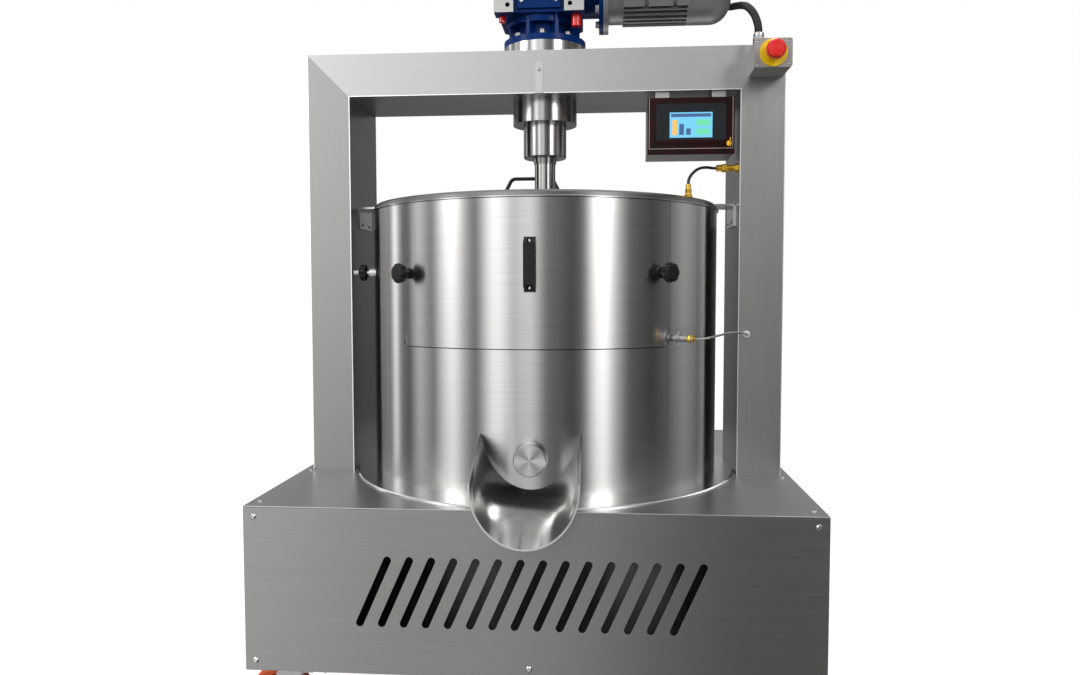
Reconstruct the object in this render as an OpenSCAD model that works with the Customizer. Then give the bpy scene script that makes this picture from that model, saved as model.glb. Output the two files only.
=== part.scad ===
// Stone grinder for cocoa: a portal frame on a box base holds a gearmotor, and its
// vertical shaft turns two granite rollers on a granite bed inside a jacketed drum.
// Origin on the floor under the shaft. X to the right, Y to the back, Z up. Millimetres.

/* [Base] */
// Width of the box base
base_w = 1116; // [1110:1:1150]
// Shaft axis to the front panel
base_front = 442; // [440:1:480]
// Shaft axis to the rear panel
base_back = 526; // [500:1:560]
// Height of the base above the castors
base_h = 326; // [300:1:360]
// Thickness of the base sheet
sheet = 3; // [2:0.5:4]
// Side of the square tube of the inner frame
tube = 40; // [30:1:50]

/* [Vents] */
// Number of slanted vent slots in the front panel
slot_count = 15; // [9:1:16]
// Distance between vent slots
slot_pitch = 43; // [38:1:44]
// Width of a vent slot
slot_w = 15; // [10:1:18]
// Overall length of a vent slot
slot_len = 150; // [100:1:160]
// Lean of the vent slots in degrees
slot_lean = 24; // [0:1:30]

/* [Portal] */
// Gap between the drum and a portal column
drum_gap = 38; // [30:1:44]
// Width of a portal column
col_w = 97; // [80:1:100]
// Depth of the portal from front to back
col_d = 220; // [200:1:240]
// Height of the cross beam
beam_h = 95; // [80:1:110]
// Portal height above the base top
portal_h = 952; // [940:1:990]
// Wall of the portal tubes
col_wall = 4; // [3:0.5:6]

/* [Drum] */
// Outer radius of the drum
drum_r = 400; // [395:1:405]
// Drum height from the plinth ring to the rim bead
drum_h = 591; // [580:1:600]
// Wall of the outer drum shell
shell_t = 2; // [1.5:0.5:3]
// Width of the jacket between the bowl and the shell
jacket_w = 28; // [24:1:32]
// Wall of the bowl
bowl_t = 4; // [3:0.5:6]
// Width that the plinth ring stands out from the drum
ring_over = 41; // [30:1:41]
// Height of the plinth ring
ring_h = 4; // [3:0.5:4.5]
// Thickness of the granite bed
bed_t = 48; // [40:1:52]
// Depth of the lid skirt
lid_h = 11; // [9:0.5:14]

/* [Hatch] */
// Half of the angle that the front hatch covers
hatch_half = 42.5; // [42:0.5:43]
// Height of the front hatch
hatch_h = 290; // [285:1:300]
// Wall of the hatch sheet
hatch_t = 3; // [2:0.5:4]
// Half of the angle of the opening behind the hatch
window_half = 30; // [26:1:31]
// Angle of the hatch knobs from the front
knob_angle = 39; // [37:0.5:39.5]
// Height of the hatch knobs above the lower edge of the hatch
knob_rise = 147.7; // [140:0.1:155]

/* [Discharge] */
// Height of the discharge port above the base top
port_rise = 93; // [88:1:100]
// Radius of the discharge bore
port_r = 27; // [22:1:29]
// Outer radius of the discharge plug
plug_r = 31; // [30:0.5:33]
// Outer radius of the chute
chute_r = 100; // [95:1:101]
// Slope of the chute in degrees
chute_slope = 28; // [28:0.5:30]
// Shaft axis to the mouth of the chute
chute_reach = 540; // [520:1:560]
// Wall of the chute sheet
chute_t = 3; // [2:0.5:3]

/* [Drive] */
// Radius of the vertical shaft
shaft_r = 24.5; // [22:0.5:25]
// Radius of the upper bearing housing
housing_r = 75; // [70:1:80]
// Radius of the lower bearing housing
neck_r = 50.5; // [47:0.5:55]
// Radius of the gearbox flange and of the spacer under it
flange_r = 96; // [92:1:100]
// Thickness of the spacer on the beam
spacer_t = 28; // [20:1:34]
// Radius of the motor frame
motor_r = 78; // [72:1:80]
// Height of the motor axis above the beam
motor_rise = 160; // [156:1:166]
// Radial gap of every running fit
fit = 0.05; // [0.02:0.01:0.1]

/* [Rollers] */
// Radius of a granite roller
roller_r = 165; // [155:1:168]
// Width of a granite roller
roller_w = 180; // [170:1:190]
// Shaft axis to the middle of a roller
roller_track = 200; // [198:1:204]
// Radius of the roller axle
axle_r = 22; // [18:1:26]

/* [Castors] */
// Radius of a castor wheel
wheel_r = 62.5; // [60:0.5:64]
// Width of a castor tread
wheel_w = 40; // [34:1:44]
// Trail of the swivelling castors
trail = 34; // [30:1:38]

/* [Controls] */
// Width of the stop button box
stop_w = 78; // [70:1:84]
// Height of the stop button box
stop_h = 60; // [56:1:66]
// Depth of the stop button box
stop_d = 85; // [70:1:95]
// Radius of the stop button
button_r = 20; // [18:0.5:22]
// Width of the touch panel box
panel_w = 188; // [180:1:196]
// Height of the touch panel box
panel_h = 122; // [110:1:126]
// Depth of the touch panel box
panel_d = 103; // [80:1:110]

/* [Hidden] */
$fn = 64;

// Steel, stone and plastic shades used in color()
steel = [0.66, 0.65, 0.63];
dark_steel = [0.42, 0.42, 0.42];
granite = [0.52, 0.52, 0.53];
blue_paint = [0.05, 0.16, 0.45];
brass = [0.83, 0.62, 0.22];
black = [0.05, 0.05, 0.05];

// Gap between pieces of different bodies that stand face to face
gap = 0.3;

// Levels
plate_t = 6;
castor_h = 154;
base_top = castor_h + base_h;
drum_z = base_top + ring_h;
rim_z = drum_z + drum_h;
rim_bead = 4;
lid_z = rim_z + rim_bead;
lid_top = lid_z + lid_h;
portal_top = base_top + portal_h;
beam_z = portal_top - beam_h;
col_in = drum_r + drum_gap;
portal_w = 2 * (col_in + col_w);

// Drum
shell_in = drum_r - shell_t;
bowl_out = shell_in - jacket_w;
bowl_r = bowl_out - bowl_t;
ring_r = drum_r + ring_over;
floor_z = drum_z + 8;
floor_t = 8;
bed_top = floor_z + floor_t + bed_t;
lid_r = drum_r - 1;
lid_t = 3;
lid_cut_y = 60;
handle_x = -38;
shaft_hole_r = shaft_r + 5.5;

// Hatch and the opening behind it
hatch_top = rim_z - 0.7;
hatch_bottom = hatch_top - hatch_h;
hatch_r = drum_r + gap;
window_low = hatch_bottom + 32;
window_high = hatch_top - 32;
knob_z = hatch_bottom + knob_rise;
stud_r = 5;
dog_w = 18;
dog_h = 8;
dog_t = 3;
slot_half_h = stud_r + 0.6;

// Discharge
port_z = base_top + port_rise;
port_wall = 3;
port_lip = 8;
chute_axis_z = base_top + 141.4;
chute_rim_z = base_top + 132.7;
chute_rim_slope = 22.6;

// Drive line
housing_h = 51.5;
neck_h = 77;
neck_bottom = beam_z - housing_h - neck_h;
collar_h = 13;
spacer_top = portal_top + spacer_t;
box_flange_t = 15;
box_flange_top = spacer_top + box_flange_t;
box_x = -7;
box_half_w = 95;
box_half_d = 88;
box_low = spacer_top + 62;
box_high = box_low + 185;
motor_z = portal_top + motor_rise;
motor_x = 127;
motor_flange_r = 94;
frame_x = motor_x + 55;
frame_len = 154;
cowl_len = 92;
cowl_x = frame_x + frame_len;
cowl_end = cowl_x + cowl_len;
fan_r = motor_r - 14;
fan_shaft_r = 11;
motor_root_r = motor_r - 12;

// Rollers and their carrier
roller_z = bed_top + gap + roller_r;
hub_r = 48;
hub_low = roller_z - 42;
hub_high = roller_z + 58;
axle_end = roller_track + roller_w / 2 + 12;
pilot_r = 20;
bush_r = 30;
bush_h = 42;

// Control boxes
stop_x = portal_w / 2 - 44;
stop_z = base_top + 911;
stop_y = -col_d / 2 - stop_d;
legend_r = 30;
panel_x = col_in - 108;
panel_z = beam_z - 18 - panel_h / 2;
panel_front = -113;
bezel_w = 152;
bezel_h = 80;
key_r = 6;
key_dx = bezel_w / 2 + key_r + 0.8;
key_dz = -panel_h / 2 + 22;

// Castors
plate_x = base_w / 2 - 68;
plate_len = 104;
plate_wide = 84;
saddle_len = 52;
front_castor_y = -base_front + 96;
rear_castor_y = base_back - 96;
leg_t = 4;
leg_gap = 3;
axle_bolt_r = 6;
race_r = 30;
race_h = 5.5;
pedal_x = 32;
pedal_drop = 14;
pedal_pin_r = 3.5;

// Side clamp, probe and hose places
clamp_y = -93;
clamp_z = base_top + 459;
clamp_travel = 4;
boss_r = 7;
boss_h = 13;
pad_face = col_in - sqrt(pow(drum_r + gap, 2) - pow(clamp_y, 2));
probe_angle = 43.7;
probe_z = base_top + 321;
gland_r = 7.6;
hose_y = -69;
hose_z = base_top + 692;
fitting_at = [315, -225];
fitting_h = 27;

// Routes of the held cords, chosen by hand
lead_route = [
    [319, -334.5, 801], [328, -343, 801.5], [346, -345, 804], [370, -318, 808],
    [398, -268, 810], [425, -215, 808], [446, -170, 803], [455, -140, 800], [456, -120, 799]
];
hose_route = [
    [392, -69, 1172], [384, -70, 1172], [370, -85, 1171.6], [355, -108, 1167.5], [342, -138, 1159.6],
    [331.5, -168, 1149.6], [323.5, -193, 1140], [318, -212, 1131], [315.2, -223.8, 1123.5], [315, -225, 1117.3]
];
conduit_route = [
    [308, 107, 1590], [340, 107, 1590], [380, 103, 1587], [414, 90, 1580],
    [438, 62, 1571], [449, 28, 1562], [455, -10, 1550], [460, -55, 1531],
    [466, -100, 1501], [469, -132, 1468], [468, -148, 1440], [468, -150, 1421]
];

// Points of a smooth curve through a route, then a tube swept along it
function spline(a, b, c, d, t) = 0.5 * (2 * b + (c - a) * t
    + (2 * a - 5 * b + 4 * c - d) * t * t + (3 * b - a - 3 * c + d) * t * t * t);
function smooth_route(p, n) = let (m = len(p) - 1) concat(
    [for (i = [0 : m - 1]) for (k = [0 : n - 1])
        spline(p[max(i - 1, 0)], p[i], p[i + 1], p[min(i + 2, m)], k / n)], [p[m]]);
function unit(v) = v / norm(v);
function heading(p, i) = unit(p[min(i + 1, len(p) - 1)] - p[max(i - 1, 0)]);
function level(n, t) = unit(n - (n * t) * t);
function sides_of(p, n, i = 0) = i == len(p) ? []
    : let (m = level(n, heading(p, i))) concat([m], sides_of(p, m, i + 1));

module swept_tube(route, r, steps, start) {
    p = smooth_route(route, steps);
    n = sides_of(p, start);
    count = len(p);
    sides = 8;
    ring = [for (i = [0 : count - 1]) let (b = cross(heading(p, i), n[i]))
        for (k = [0 : sides - 1]) let (a = 360 * k / sides)
            p[i] + r * (cos(a) * n[i] + sin(a) * b)];
    walls = [for (i = [0 : count - 2]) for (k = [0 : sides - 1]) let (j = (k + 1) % sides)
        [i * sides + k, (i + 1) * sides + k, (i + 1) * sides + j, i * sides + j]];
    first = [for (k = [0 : sides - 1]) k];
    last = [for (k = [0 : sides - 1]) (count - 1) * sides + sides - 1 - k];
    polyhedron(ring, concat([first], [last], walls));
}

// Ring round the drum axis between two radii and two heights
module ring_z(r_in, r_out, z_low, z_high, fn = 128) {
    rotate_extrude($fn = fn) translate([r_in, z_low]) square([r_out - r_in, z_high - z_low]);
}

// Curved slab on the front of the drum, between two angles from the front
module front_sector(r_in, r_out, z_low, z_high, from, to) {
    rotate([0, 0, from - 90]) rotate_extrude(angle = to - from, $fn = 128)
        translate([r_in, z_low]) square([r_out - r_in, z_high - z_low]);
}

// Puts a child that points along -Y from the axis at an angle from the front
module at_front(angle, z) {
    rotate([0, 0, angle]) translate([0, 0, z]) children();
}

// Round bar along -Y, from one distance to another
module bar_out(r, from, to, fn = 48) {
    translate([0, -from, 0]) rotate([90, 0, 0]) cylinder(r = r, h = to - from, $fn = fn);
}

// Round bar along +X
module bar_x(r, from, to, fn = 64) {
    translate([from, 0, 0]) rotate([0, 90, 0]) cylinder(r = r, h = to - from, $fn = fn);
}

// Round bar bent in the XY plane through a list of corners, with one bend radius
module bent_bar(p, bend, r) {
    last = len(p) - 1;
    turn = [for (i = [0 : last]) i == 0 || i == last ? 0
        : atan2(cross(p[i] - p[i - 1], p[i + 1] - p[i]), (p[i] - p[i - 1]) * (p[i + 1] - p[i]))];
    trim = [for (t = turn) bend * tan(abs(t) / 2)];
    for (i = [0 : last - 1]) {
        d = unit(p[i + 1] - p[i]);
        translate(p[i] + d * trim[i]) rotate([0, 90, atan2(d[1], d[0])])
            cylinder(r = r, h = norm(p[i + 1] - p[i]) - trim[i] - trim[i + 1], $fn = 32);
    }
    for (i = [1 : last - 1]) {
        d = unit(p[i] - p[i - 1]);
        side = sign(turn[i]);
        translate(p[i] - d * trim[i] + side * bend * [-d[1], d[0]])
            rotate([0, 0, atan2(d[1], d[0]) - side * 90 + min(turn[i], 0)])
            rotate_extrude(angle = abs(turn[i]), $fn = 64) translate([bend, 0]) circle(r = r, $fn = 32);
    }
}

// Lobed grip along +Z with its domed end up
module lobed_grip(r, h, lobes) {
    difference() {
        rotate_extrude($fn = 64) polygon([
            [0, 0], [r - 3, 0], [r, 3], [r, h - 4], [r - 2, h - 1.4], [r * 0.6, h], [0, h]
        ]);
        for (i = [0 : lobes - 1]) rotate([0, 0, 360 * (i + 0.5) / lobes])
            translate([r * 1.12, 0, -1]) cylinder(r = r * 0.3, h = h + 2, $fn = 32);
    }
}

// Button-head screw along +Z
module button_screw(r = 6, h = 3) {
    difference() {
        rotate_extrude($fn = 32) polygon([[0, 0], [r, 0], [r, h * 0.3], [r * 0.62, h], [0, h]]);
        translate([0, 0, h * 0.45]) cylinder(r = r * 0.36, h = h, $fn = 6);
    }
}

// Base

rail_low = castor_h;
rail_high = base_top - sheet - tube;
frame_x_in = base_w / 2 - sheet;
frame_y_front = -base_front + sheet;
frame_y_back = base_back - sheet;

module frame_rails(z) {
    for (side = [-1, 1])
        translate([side > 0 ? frame_x_in - tube : -frame_x_in, frame_y_front, z])
            cube([tube, frame_y_back - frame_y_front, tube]);
    for (y = [frame_y_front, frame_y_back - tube])
        translate([-frame_x_in, y, z]) cube([2 * frame_x_in, tube, tube]);
}

module corner_pads() {
    pad_x = 165;
    pad_y = 175;
    for (side = [-1, 1]) for (end = [-1, 1])
        translate([side > 0 ? frame_x_in - pad_x : -frame_x_in,
            end > 0 ? frame_y_back - pad_y : frame_y_front, castor_h])
            cube([pad_x, pad_y, 8]);
}

// Welded inner frame of square tube on a bottom sheet, with pads for the castors and a post
// under each column
module base_frame() {
    post = base_h - sheet;
    color(dark_steel) {
        frame_rails(rail_low);
        frame_rails(rail_high);
        corner_pads();
        translate([-frame_x_in, frame_y_front, castor_h])
            cube([2 * frame_x_in, frame_y_back - frame_y_front, sheet]);
        for (side = [-1, 1]) {
            x = side > 0 ? frame_x_in - tube : -frame_x_in;
            for (y = [frame_y_front, -col_d / 2, col_d / 2 - tube, frame_y_back - tube])
                translate([x, y, castor_h]) cube([tube, tube, post]);
        }
        for (y = [-250, 210]) translate([-frame_x_in, y, rail_high])
            cube([2 * frame_x_in, tube, tube]);
    }
}

// Folded sheet round the left, rear and right of the base
module base_shell() {
    h = base_h - sheet;
    color(steel) {
        for (side = [-1, 1])
            translate([side > 0 ? frame_x_in : -base_w / 2, -base_front + sheet, castor_h])
                cube([sheet, base_front + base_back - sheet, h]);
        difference() {
            translate([-frame_x_in, frame_y_back, castor_h]) cube([2 * frame_x_in, sheet, h]);
            for (row = [0 : 4]) for (side = [-1, 1])
                translate([side * 250 - 90, frame_y_back - 1, castor_h + 120 + 24 * row])
                    cube([180, sheet + 2, 8]);
        }
    }
}

module vent_slot() {
    straight = slot_len - slot_w;
    rotate([0, slot_lean, 0]) rotate([90, 0, 0]) {
        translate([-slot_w / 2, -straight / 2, -sheet]) cube([slot_w, straight, 3 * sheet]);
        for (end = [-1, 1]) translate([0, end * straight / 2, -sheet])
            cylinder(r = slot_w / 2, h = 3 * sheet, $fn = 32);
    }
}

// Front panel with a row of slanted vent slots
module base_front_panel() {
    color(steel) difference() {
        translate([-base_w / 2, -base_front, castor_h]) cube([base_w, sheet, base_h - sheet]);
        for (i = [0 : slot_count - 1])
            translate([(i - (slot_count - 1) / 2) * slot_pitch, -base_front + sheet, castor_h + base_h / 2])
                vent_slot();
    }
}

// Deck of the base
module base_top_plate() {
    color(steel) translate([-base_w / 2, -base_front, base_top - sheet])
        cube([base_w, base_front + base_back, sheet]);
}

// Screws of the panels, the deck and the drum brackets
module panel_screws() {
    edge = 20;
    color(steel) {
        for (side = [-1, 1]) {
            for (z = [castor_h + edge, base_top - edge])
                translate([side * (base_w / 2 - edge), -base_front, z])
                    rotate([90, 0, 0]) button_screw();
            for (y = [-base_front + 38, -117, base_back - 38])
                translate([side * (base_w / 2 - edge), y, base_top]) button_screw();
            for (z = [castor_h + edge, base_top - edge]) for (y = [-base_front + 60, base_back - 60])
                translate([side * base_w / 2, y, z]) rotate([0, side * 90, 0]) button_screw();
            for (y = [-28, 28]) translate([side * (col_in - bracket_t), y, lid_top - 36])
                rotate([0, -side * 90, 0]) button_screw(4.5, 2.5);
        }
        translate([0, -base_front, castor_h + edge]) rotate([90, 0, 0]) button_screw();
    }
}

// Raised ring that the drum stands on
module plinth_ring() {
    color(steel) difference() {
        rotate_extrude($fn = 160) polygon([
            [drum_r - 30, base_top], [ring_r, base_top], [ring_r, drum_z - 1.5], [ring_r - 2.5, drum_z],
            [drum_r - 30, drum_z]
        ]);
        for (side = [-1, 1]) translate([side > 0 ? col_in - fit : -ring_r - col_w, -col_d, base_top - 1])
            cube([ring_r + col_w - col_in + fit, 2 * col_d, ring_h + 2]);
    }
}

// Portal

// Welded portal: two columns and a mitred cross beam, bored for the shaft
module portal_frame() {
    h = portal_top - base_top;
    color(steel) difference() {
        union() {
            for (side = [-1, 1])
                translate([side > 0 ? col_in : -portal_w / 2, -col_d / 2, base_top])
                    cube([col_w, col_d, h]);
            translate([-portal_w / 2, -col_d / 2, beam_z]) cube([portal_w, col_d, beam_h]);
        }
        for (side = [-1, 1])
            translate([(side > 0 ? col_in : -portal_w / 2) + col_wall, -col_d / 2 + col_wall,
                base_top - 1])
                cube([col_w - 2 * col_wall, col_d - 2 * col_wall, h - col_wall + 1]);
        translate([-col_in - 1, -col_d / 2 + col_wall, beam_z + col_wall])
            cube([2 * col_in + 2, col_d - 2 * col_wall, beam_h - 2 * col_wall]);
        translate([0, 0, beam_z - 1]) cylinder(r = shaft_r + 3, h = beam_h + 2);
        translate([-col_in, clamp_y, clamp_z]) bar_x(boss_r + fit, -col_wall - 1, 1, 32);
    }
    color(steel) clamp_bush();
}

// Threaded bush of the side clamp, let into the inner face of the left column
module clamp_bush() {
    translate([-col_in, clamp_y, clamp_z]) difference() {
        union() {
            bar_x(boss_r, -col_wall, 1, 32);
            bar_x(boss_r + 2, fit, boss_h, 32);
        }
        bar_x(5 + fit, -col_wall - 1, boss_h + 1, 32);
    }
}

// Small strip with a round top on the front of the beam, with its screw
module beam_strap() {
    w = 18;
    h = 60;
    x = -5;
    color(steel) {
        translate([x - w / 2, -col_d / 2 - 2, beam_z]) cube([w, 2, h]);
        translate([x, -col_d / 2, beam_z + h]) rotate([90, 0, 0]) cylinder(r = w / 2, h = 2);
        translate([x, -col_d / 2 - 2, beam_z + h - 8]) rotate([90, 0, 0]) button_screw(4, 2.4);
    }
}

// Drum

module window_cut(grow, r_in, r_out) {
    a = window_half + grow;
    front_sector(r_in, r_out, window_low, window_high, -a, a);
}

module dog_slots() {
    for (side = [-1, 1]) {
        centre = side * (knob_angle - 0.35);
        front_sector(shell_in - 1, drum_r + 1, knob_z - slot_half_h, knob_z + slot_half_h,
            centre - 1.75, centre + 1.75);
    }
}

// Outer shell of the jacket, with its rim bead, the frame of the opening and the lid hinge
module drum_shell() {
    jamb = 0.4;
    color(steel) {
        difference() {
            union() {
                ring_z(shell_in, drum_r, drum_z, rim_z, 160);
                window_jamb(jamb);
            }
            window_cut(0, bowl_r, drum_r + 5);
            dog_slots();
            at_front(0, port_z) bar_out(port_r + port_wall, bowl_r, drum_r + 2);
            at_front(probe_angle, probe_z) bar_out(4, bowl_r, drum_r + 2, 24);
        }
        hinge_leaf();
        rim_ring();
    }
}

// Flat ring with a bead round its edge, which closes the jacket at the top
module rim_ring() {
    z = rim_z + fit;
    rotate_extrude($fn = 160) polygon([
        [bowl_r, z], [drum_r + 2, z], [drum_r + rim_bead, rim_z + 1.2],
        [drum_r + rim_bead, rim_z + 2.8], [drum_r + 2, lid_z], [bowl_r, lid_z]
    ]);
}

module window_jamb(jamb) {
    difference() {
        front_sector(bowl_out + fit, shell_in + shell_t / 2, window_low - 3, window_high + 3,
            -window_half - jamb, window_half + jamb);
        window_cut(0, bowl_r, drum_r + 5);
    }
}

hinge_y = drum_r + 14;
hinge_z = lid_z + 4;
pin_r = 4;
knuckle_r = 7.5;
knuckle = 24;

module knuckle_x(from, to) {
    translate([0, hinge_y, hinge_z]) bar_x(knuckle_r, from, to, 32);
}

module hinge_leaf() {
    difference() {
        for (side = [-1, 1]) {
            x = side > 0 ? knuckle / 2 + gap : -knuckle * 1.5 - gap;
            knuckle_x(x, x + knuckle);
            translate([x, drum_r - 1.2, rim_z - 60]) cube([knuckle, 4, 55]);
            translate([x, hinge_y - knuckle_r, rim_z - 22]) cube([knuckle, 5, 24]);
            translate([x, drum_r - 1, rim_z - 22]) cube([knuckle, hinge_y - knuckle_r - drum_r + 3, 5]);
        }
        translate([0, hinge_y, hinge_z]) bar_x(pin_r + fit, -60, 60, 32);
        cylinder(r = drum_r - 0.5, h = rim_z, $fn = 160);
    }
}

// Inner bowl: its wall with the foot that closes the jacket, and the floor plate inside it
module drum_bowl() {
    color(steel) difference() {
        union() {
            ring_z(bowl_r, bowl_out, drum_z, rim_z);
            ring_z(bowl_out - 1, shell_in - fit, drum_z, drum_z + bowl_t);
        }
        window_cut(0, bowl_r - 5, drum_r + 5);
        at_front(0, port_z) bar_out(port_r + port_wall, bowl_r - 8, drum_r + 2);
        at_front(probe_angle, probe_z) bar_out(4, bowl_r - 8, drum_r + 2, 24);
    }
    color(steel) translate([0, 0, floor_z]) cylinder(r = bowl_r - fit, h = floor_t, $fn = 128);
}

// Granite bed that the rollers run on, with the bush that centres the foot of the shaft
module granite_bed() {
    z = floor_z + floor_t;
    color(granite) rotate_extrude($fn = 128) polygon([
        [0, z], [bowl_r - 0.5, z], [bowl_r - 0.5, bed_top - 2], [bowl_r - 3, bed_top], [0, bed_top]
    ]);
    color(brass) rotate_extrude($fn = 64) polygon([
        [pilot_r + fit, bed_top + fit], [bush_r + 14, bed_top + fit], [bush_r + 14, bed_top + 6],
        [bush_r, bed_top + 6], [bush_r, bed_top + bush_h], [pilot_r + fit, bed_top + bush_h]
    ]);
}

module lid_dish() {
    rotate_extrude($fn = 160) polygon([
        [0, lid_top], [lid_r - 4, lid_top], [lid_r, lid_top - 4], [lid_r, lid_z], [lid_r - lid_t, lid_z],
        [lid_r - lid_t, lid_top - 5], [lid_r - 5, lid_top - lid_t], [0, lid_top - lid_t]
    ]);
}

// Fixed front part of the lid, round the shaft
module lid_front() {
    w = 2 * lid_r + 20;
    color(steel) difference() {
        lid_dish();
        translate([-w / 2, lid_cut_y, lid_z - 1]) cube([w, w, lid_h + 2]);
        translate([0, 0, lid_z]) cylinder(r = shaft_hole_r, h = lid_h + 2);
    }
}

// Rear part of the lid, hinged at the back of the drum
module lid_rear() {
    w = 2 * lid_r + 20;
    color(steel) {
        difference() {
            lid_dish();
            translate([-w / 2, lid_cut_y + 1 - w, lid_z - 1]) cube([w, w, lid_h + 2]);
        }
        difference() {
            union() {
                knuckle_x(-knuckle / 2, knuckle / 2);
                translate([-knuckle / 2, lid_r - 30, lid_top - lid_t])
                    cube([knuckle, hinge_y - lid_r + 30, lid_t]);
            }
            translate([0, hinge_y, hinge_z]) bar_x(pin_r + fit, -60, 60, 32);
        }
    }
}

// Bent bar handle at the free edge of the rear lid
module lid_handle() {
    foot = 92;
    shoulder = 50;
    rise = 84;
    color(black) translate([handle_x, lid_cut_y + 26, lid_top]) rotate([90, 0, 0]) {
        bent_bar([[-foot, 2], [-shoulder, rise], [shoulder, rise], [foot, 2]], 16, 4.5);
        for (side = [-1, 1]) translate([side * foot, 0, 0]) rotate([-90, 0, 0])
            cylinder(r = 8, h = 5, $fn = 32);
    }
}

// Pin of the lid hinge
module lid_hinge_pin() {
    half = knuckle * 1.5 + gap;
    color(steel) translate([0, hinge_y, hinge_z]) {
        bar_x(pin_r, -half, half, 32);
        for (side = [-1, 1]) bar_x(pin_r + 2, side > 0 ? half : -half - 3, side > 0 ? half + 3 : -half, 32);
    }
}

bracket_t = 4;
bracket_w = 100;

// Angle brackets from the columns over the edge of the lid
module drum_brackets() {
    leg = 50;
    reach = col_in - (drum_r - 12);
    color(steel) for (side = [-1, 1]) {
        flip = side > 0 ? 0 : 180;
        rotate([0, 0, flip]) translate([col_in, bracket_w / 2, lid_top]) rotate([90, 0, 0])
            linear_extrude(bracket_w) difference() {
                union() {
                    translate([-reach, 0]) square([reach - 8, bracket_t]);
                    translate([-bracket_t, bracket_t - leg]) square([bracket_t, leg - 8]);
                    translate([-8, bracket_t - 8]) circle(r = 8, $fn = 48);
                }
                translate([-8, bracket_t - 8]) circle(r = 8 - bracket_t, $fn = 48);
                translate([-16 - bracket_t, -16]) square([16, 16]);
                translate([-8 - 8, bracket_t - 16]) square([8, 12]);
                translate([-8 - 8, bracket_t - 16]) square([12, 8]);
            }
    }
}

// Front hatch

// Curved hatch over the opening in the front of the drum
module front_hatch() {
    corner = 10;
    color(steel) difference() {
        front_sector(hatch_r, hatch_r + hatch_t, hatch_bottom, hatch_top, -hatch_half, hatch_half);
        for (side = [-1, 1]) {
            at_front(side * knob_angle, knob_z) bar_out(stud_r + fit, drum_r - 5, drum_r + 10, 32);
            at_front(side * hatch_half, hatch_bottom) rotate([0, 45, 0])
                translate([-corner / 2, -drum_r - 10, -corner]) cube([corner, 20, 2 * corner]);
        }
    }
}

// Black bridge handle in the middle of the hatch
module hatch_handle() {
    h = 105;
    w = 22;
    out = 27;
    y = -(hatch_r + hatch_t) + 1;
    color(black) difference() {
        translate([-w / 2, y, knob_z - 38 + h / 2]) rotate([90, 0, 90]) linear_extrude(w) polygon([
            [0, -h / 2], [0, h / 2], [-6, h / 2], [-out + 3, h / 2 - 10], [-out, h / 2 - 14],
            [-out, -h / 2 + 14], [-out + 3, -h / 2 + 10], [-6, -h / 2]
        ]);
        translate([-w, y - out + 9, knob_z - 38 + 18]) cube([2 * w, out, h - 36]);
        for (z = [8, h - 8]) translate([0, y + 1, knob_z - 38 + z]) rotate([90, 0, 0]) {
            translate([0, 0, 9]) cylinder(r = 5, h = 30, $fn = 32);
            cylinder(r = 2.6, h = 12, $fn = 24);
        }
        cylinder(r = hatch_r + hatch_t + fit, h = rim_z, $fn = 128);
    }
}

// Lobed knob on a stud, whose dog turns behind the drum wall
module hatch_knob(side) {
    face = hatch_r + hatch_t + gap;
    dog_out = shell_in - 0.5;
    color(black) at_front(side * knob_angle, knob_z) {
        bar_out(stud_r, dog_out - dog_t, face + 24, 32);
        translate([-dog_w / 2, -dog_out, -dog_h / 2]) cube([dog_w, dog_t, dog_h]);
        bar_out(11, face, face + 3, 32);
        bar_out(8.5, face + 3, face + 20, 32);
        translate([0, -face - 19, 0]) rotate([90, 0, 0]) lobed_grip(20, 16, 7);
    }
}

module hatch_knob_left() { hatch_knob(-1); }
module hatch_knob_right() { hatch_knob(1); }

// Discharge

// Half-round chute under the discharge port, cut to the drum, with its rims less steep than its floor
module chute() {
    span = 4 * chute_r;
    color(steel) difference() {
        translate([0, -drum_r, chute_axis_z]) rotate([90 + chute_slope, 0, 0]) difference() {
            translate([0, 0, -chute_r]) cylinder(r = chute_r, h = span, $fn = 128);
            translate([0, 0, -chute_r - 1]) cylinder(r = chute_r - chute_t, h = span + 2, $fn = 128);
        }
        translate([-span, -drum_r, chute_rim_z]) rotate([chute_rim_slope, 0, 0])
            translate([0, -span, 0]) cube([2 * span, 2 * span, span]);
        translate([0, 0, chute_axis_z - span]) cylinder(r = drum_r, h = 2 * span, $fn = 160);
        translate([-span, -chute_reach - span, chute_axis_z - span]) cube([2 * span, span, 2 * span]);
    }
}

// Stub through the jacket that the plug closes, with a flange on the shell
module discharge_port() {
    color(steel) at_front(0, port_z) difference() {
        union() {
            bar_out(port_r + port_wall, bowl_r - 2, drum_r + port_lip);
            difference() {
                bar_out(port_r + port_wall + 4, drum_r - 5, drum_r + port_lip);
                cylinder(r = drum_r, h = 100, center = true, $fn = 160);
            }
        }
        bar_out(port_r + fit, bowl_r - 20, drum_r + 30);
        cylinder(r = bowl_r, h = 100, center = true, $fn = 128);
    }
}

// Plug with a turned face
module discharge_plug() {
    face = drum_r + port_lip + gap;
    color(steel) at_front(0, port_z) {
        bar_out(port_r, bowl_r + 2, face + 1);
        translate([0, -face, 0]) rotate([90, 0, 0]) rotate_extrude($fn = 96) polygon([
            [0, 0], [plug_r, 0], [plug_r, 20], [plug_r - 1.5, 22], [0, 22]
        ]);
    }
}

// Side clamp

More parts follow.
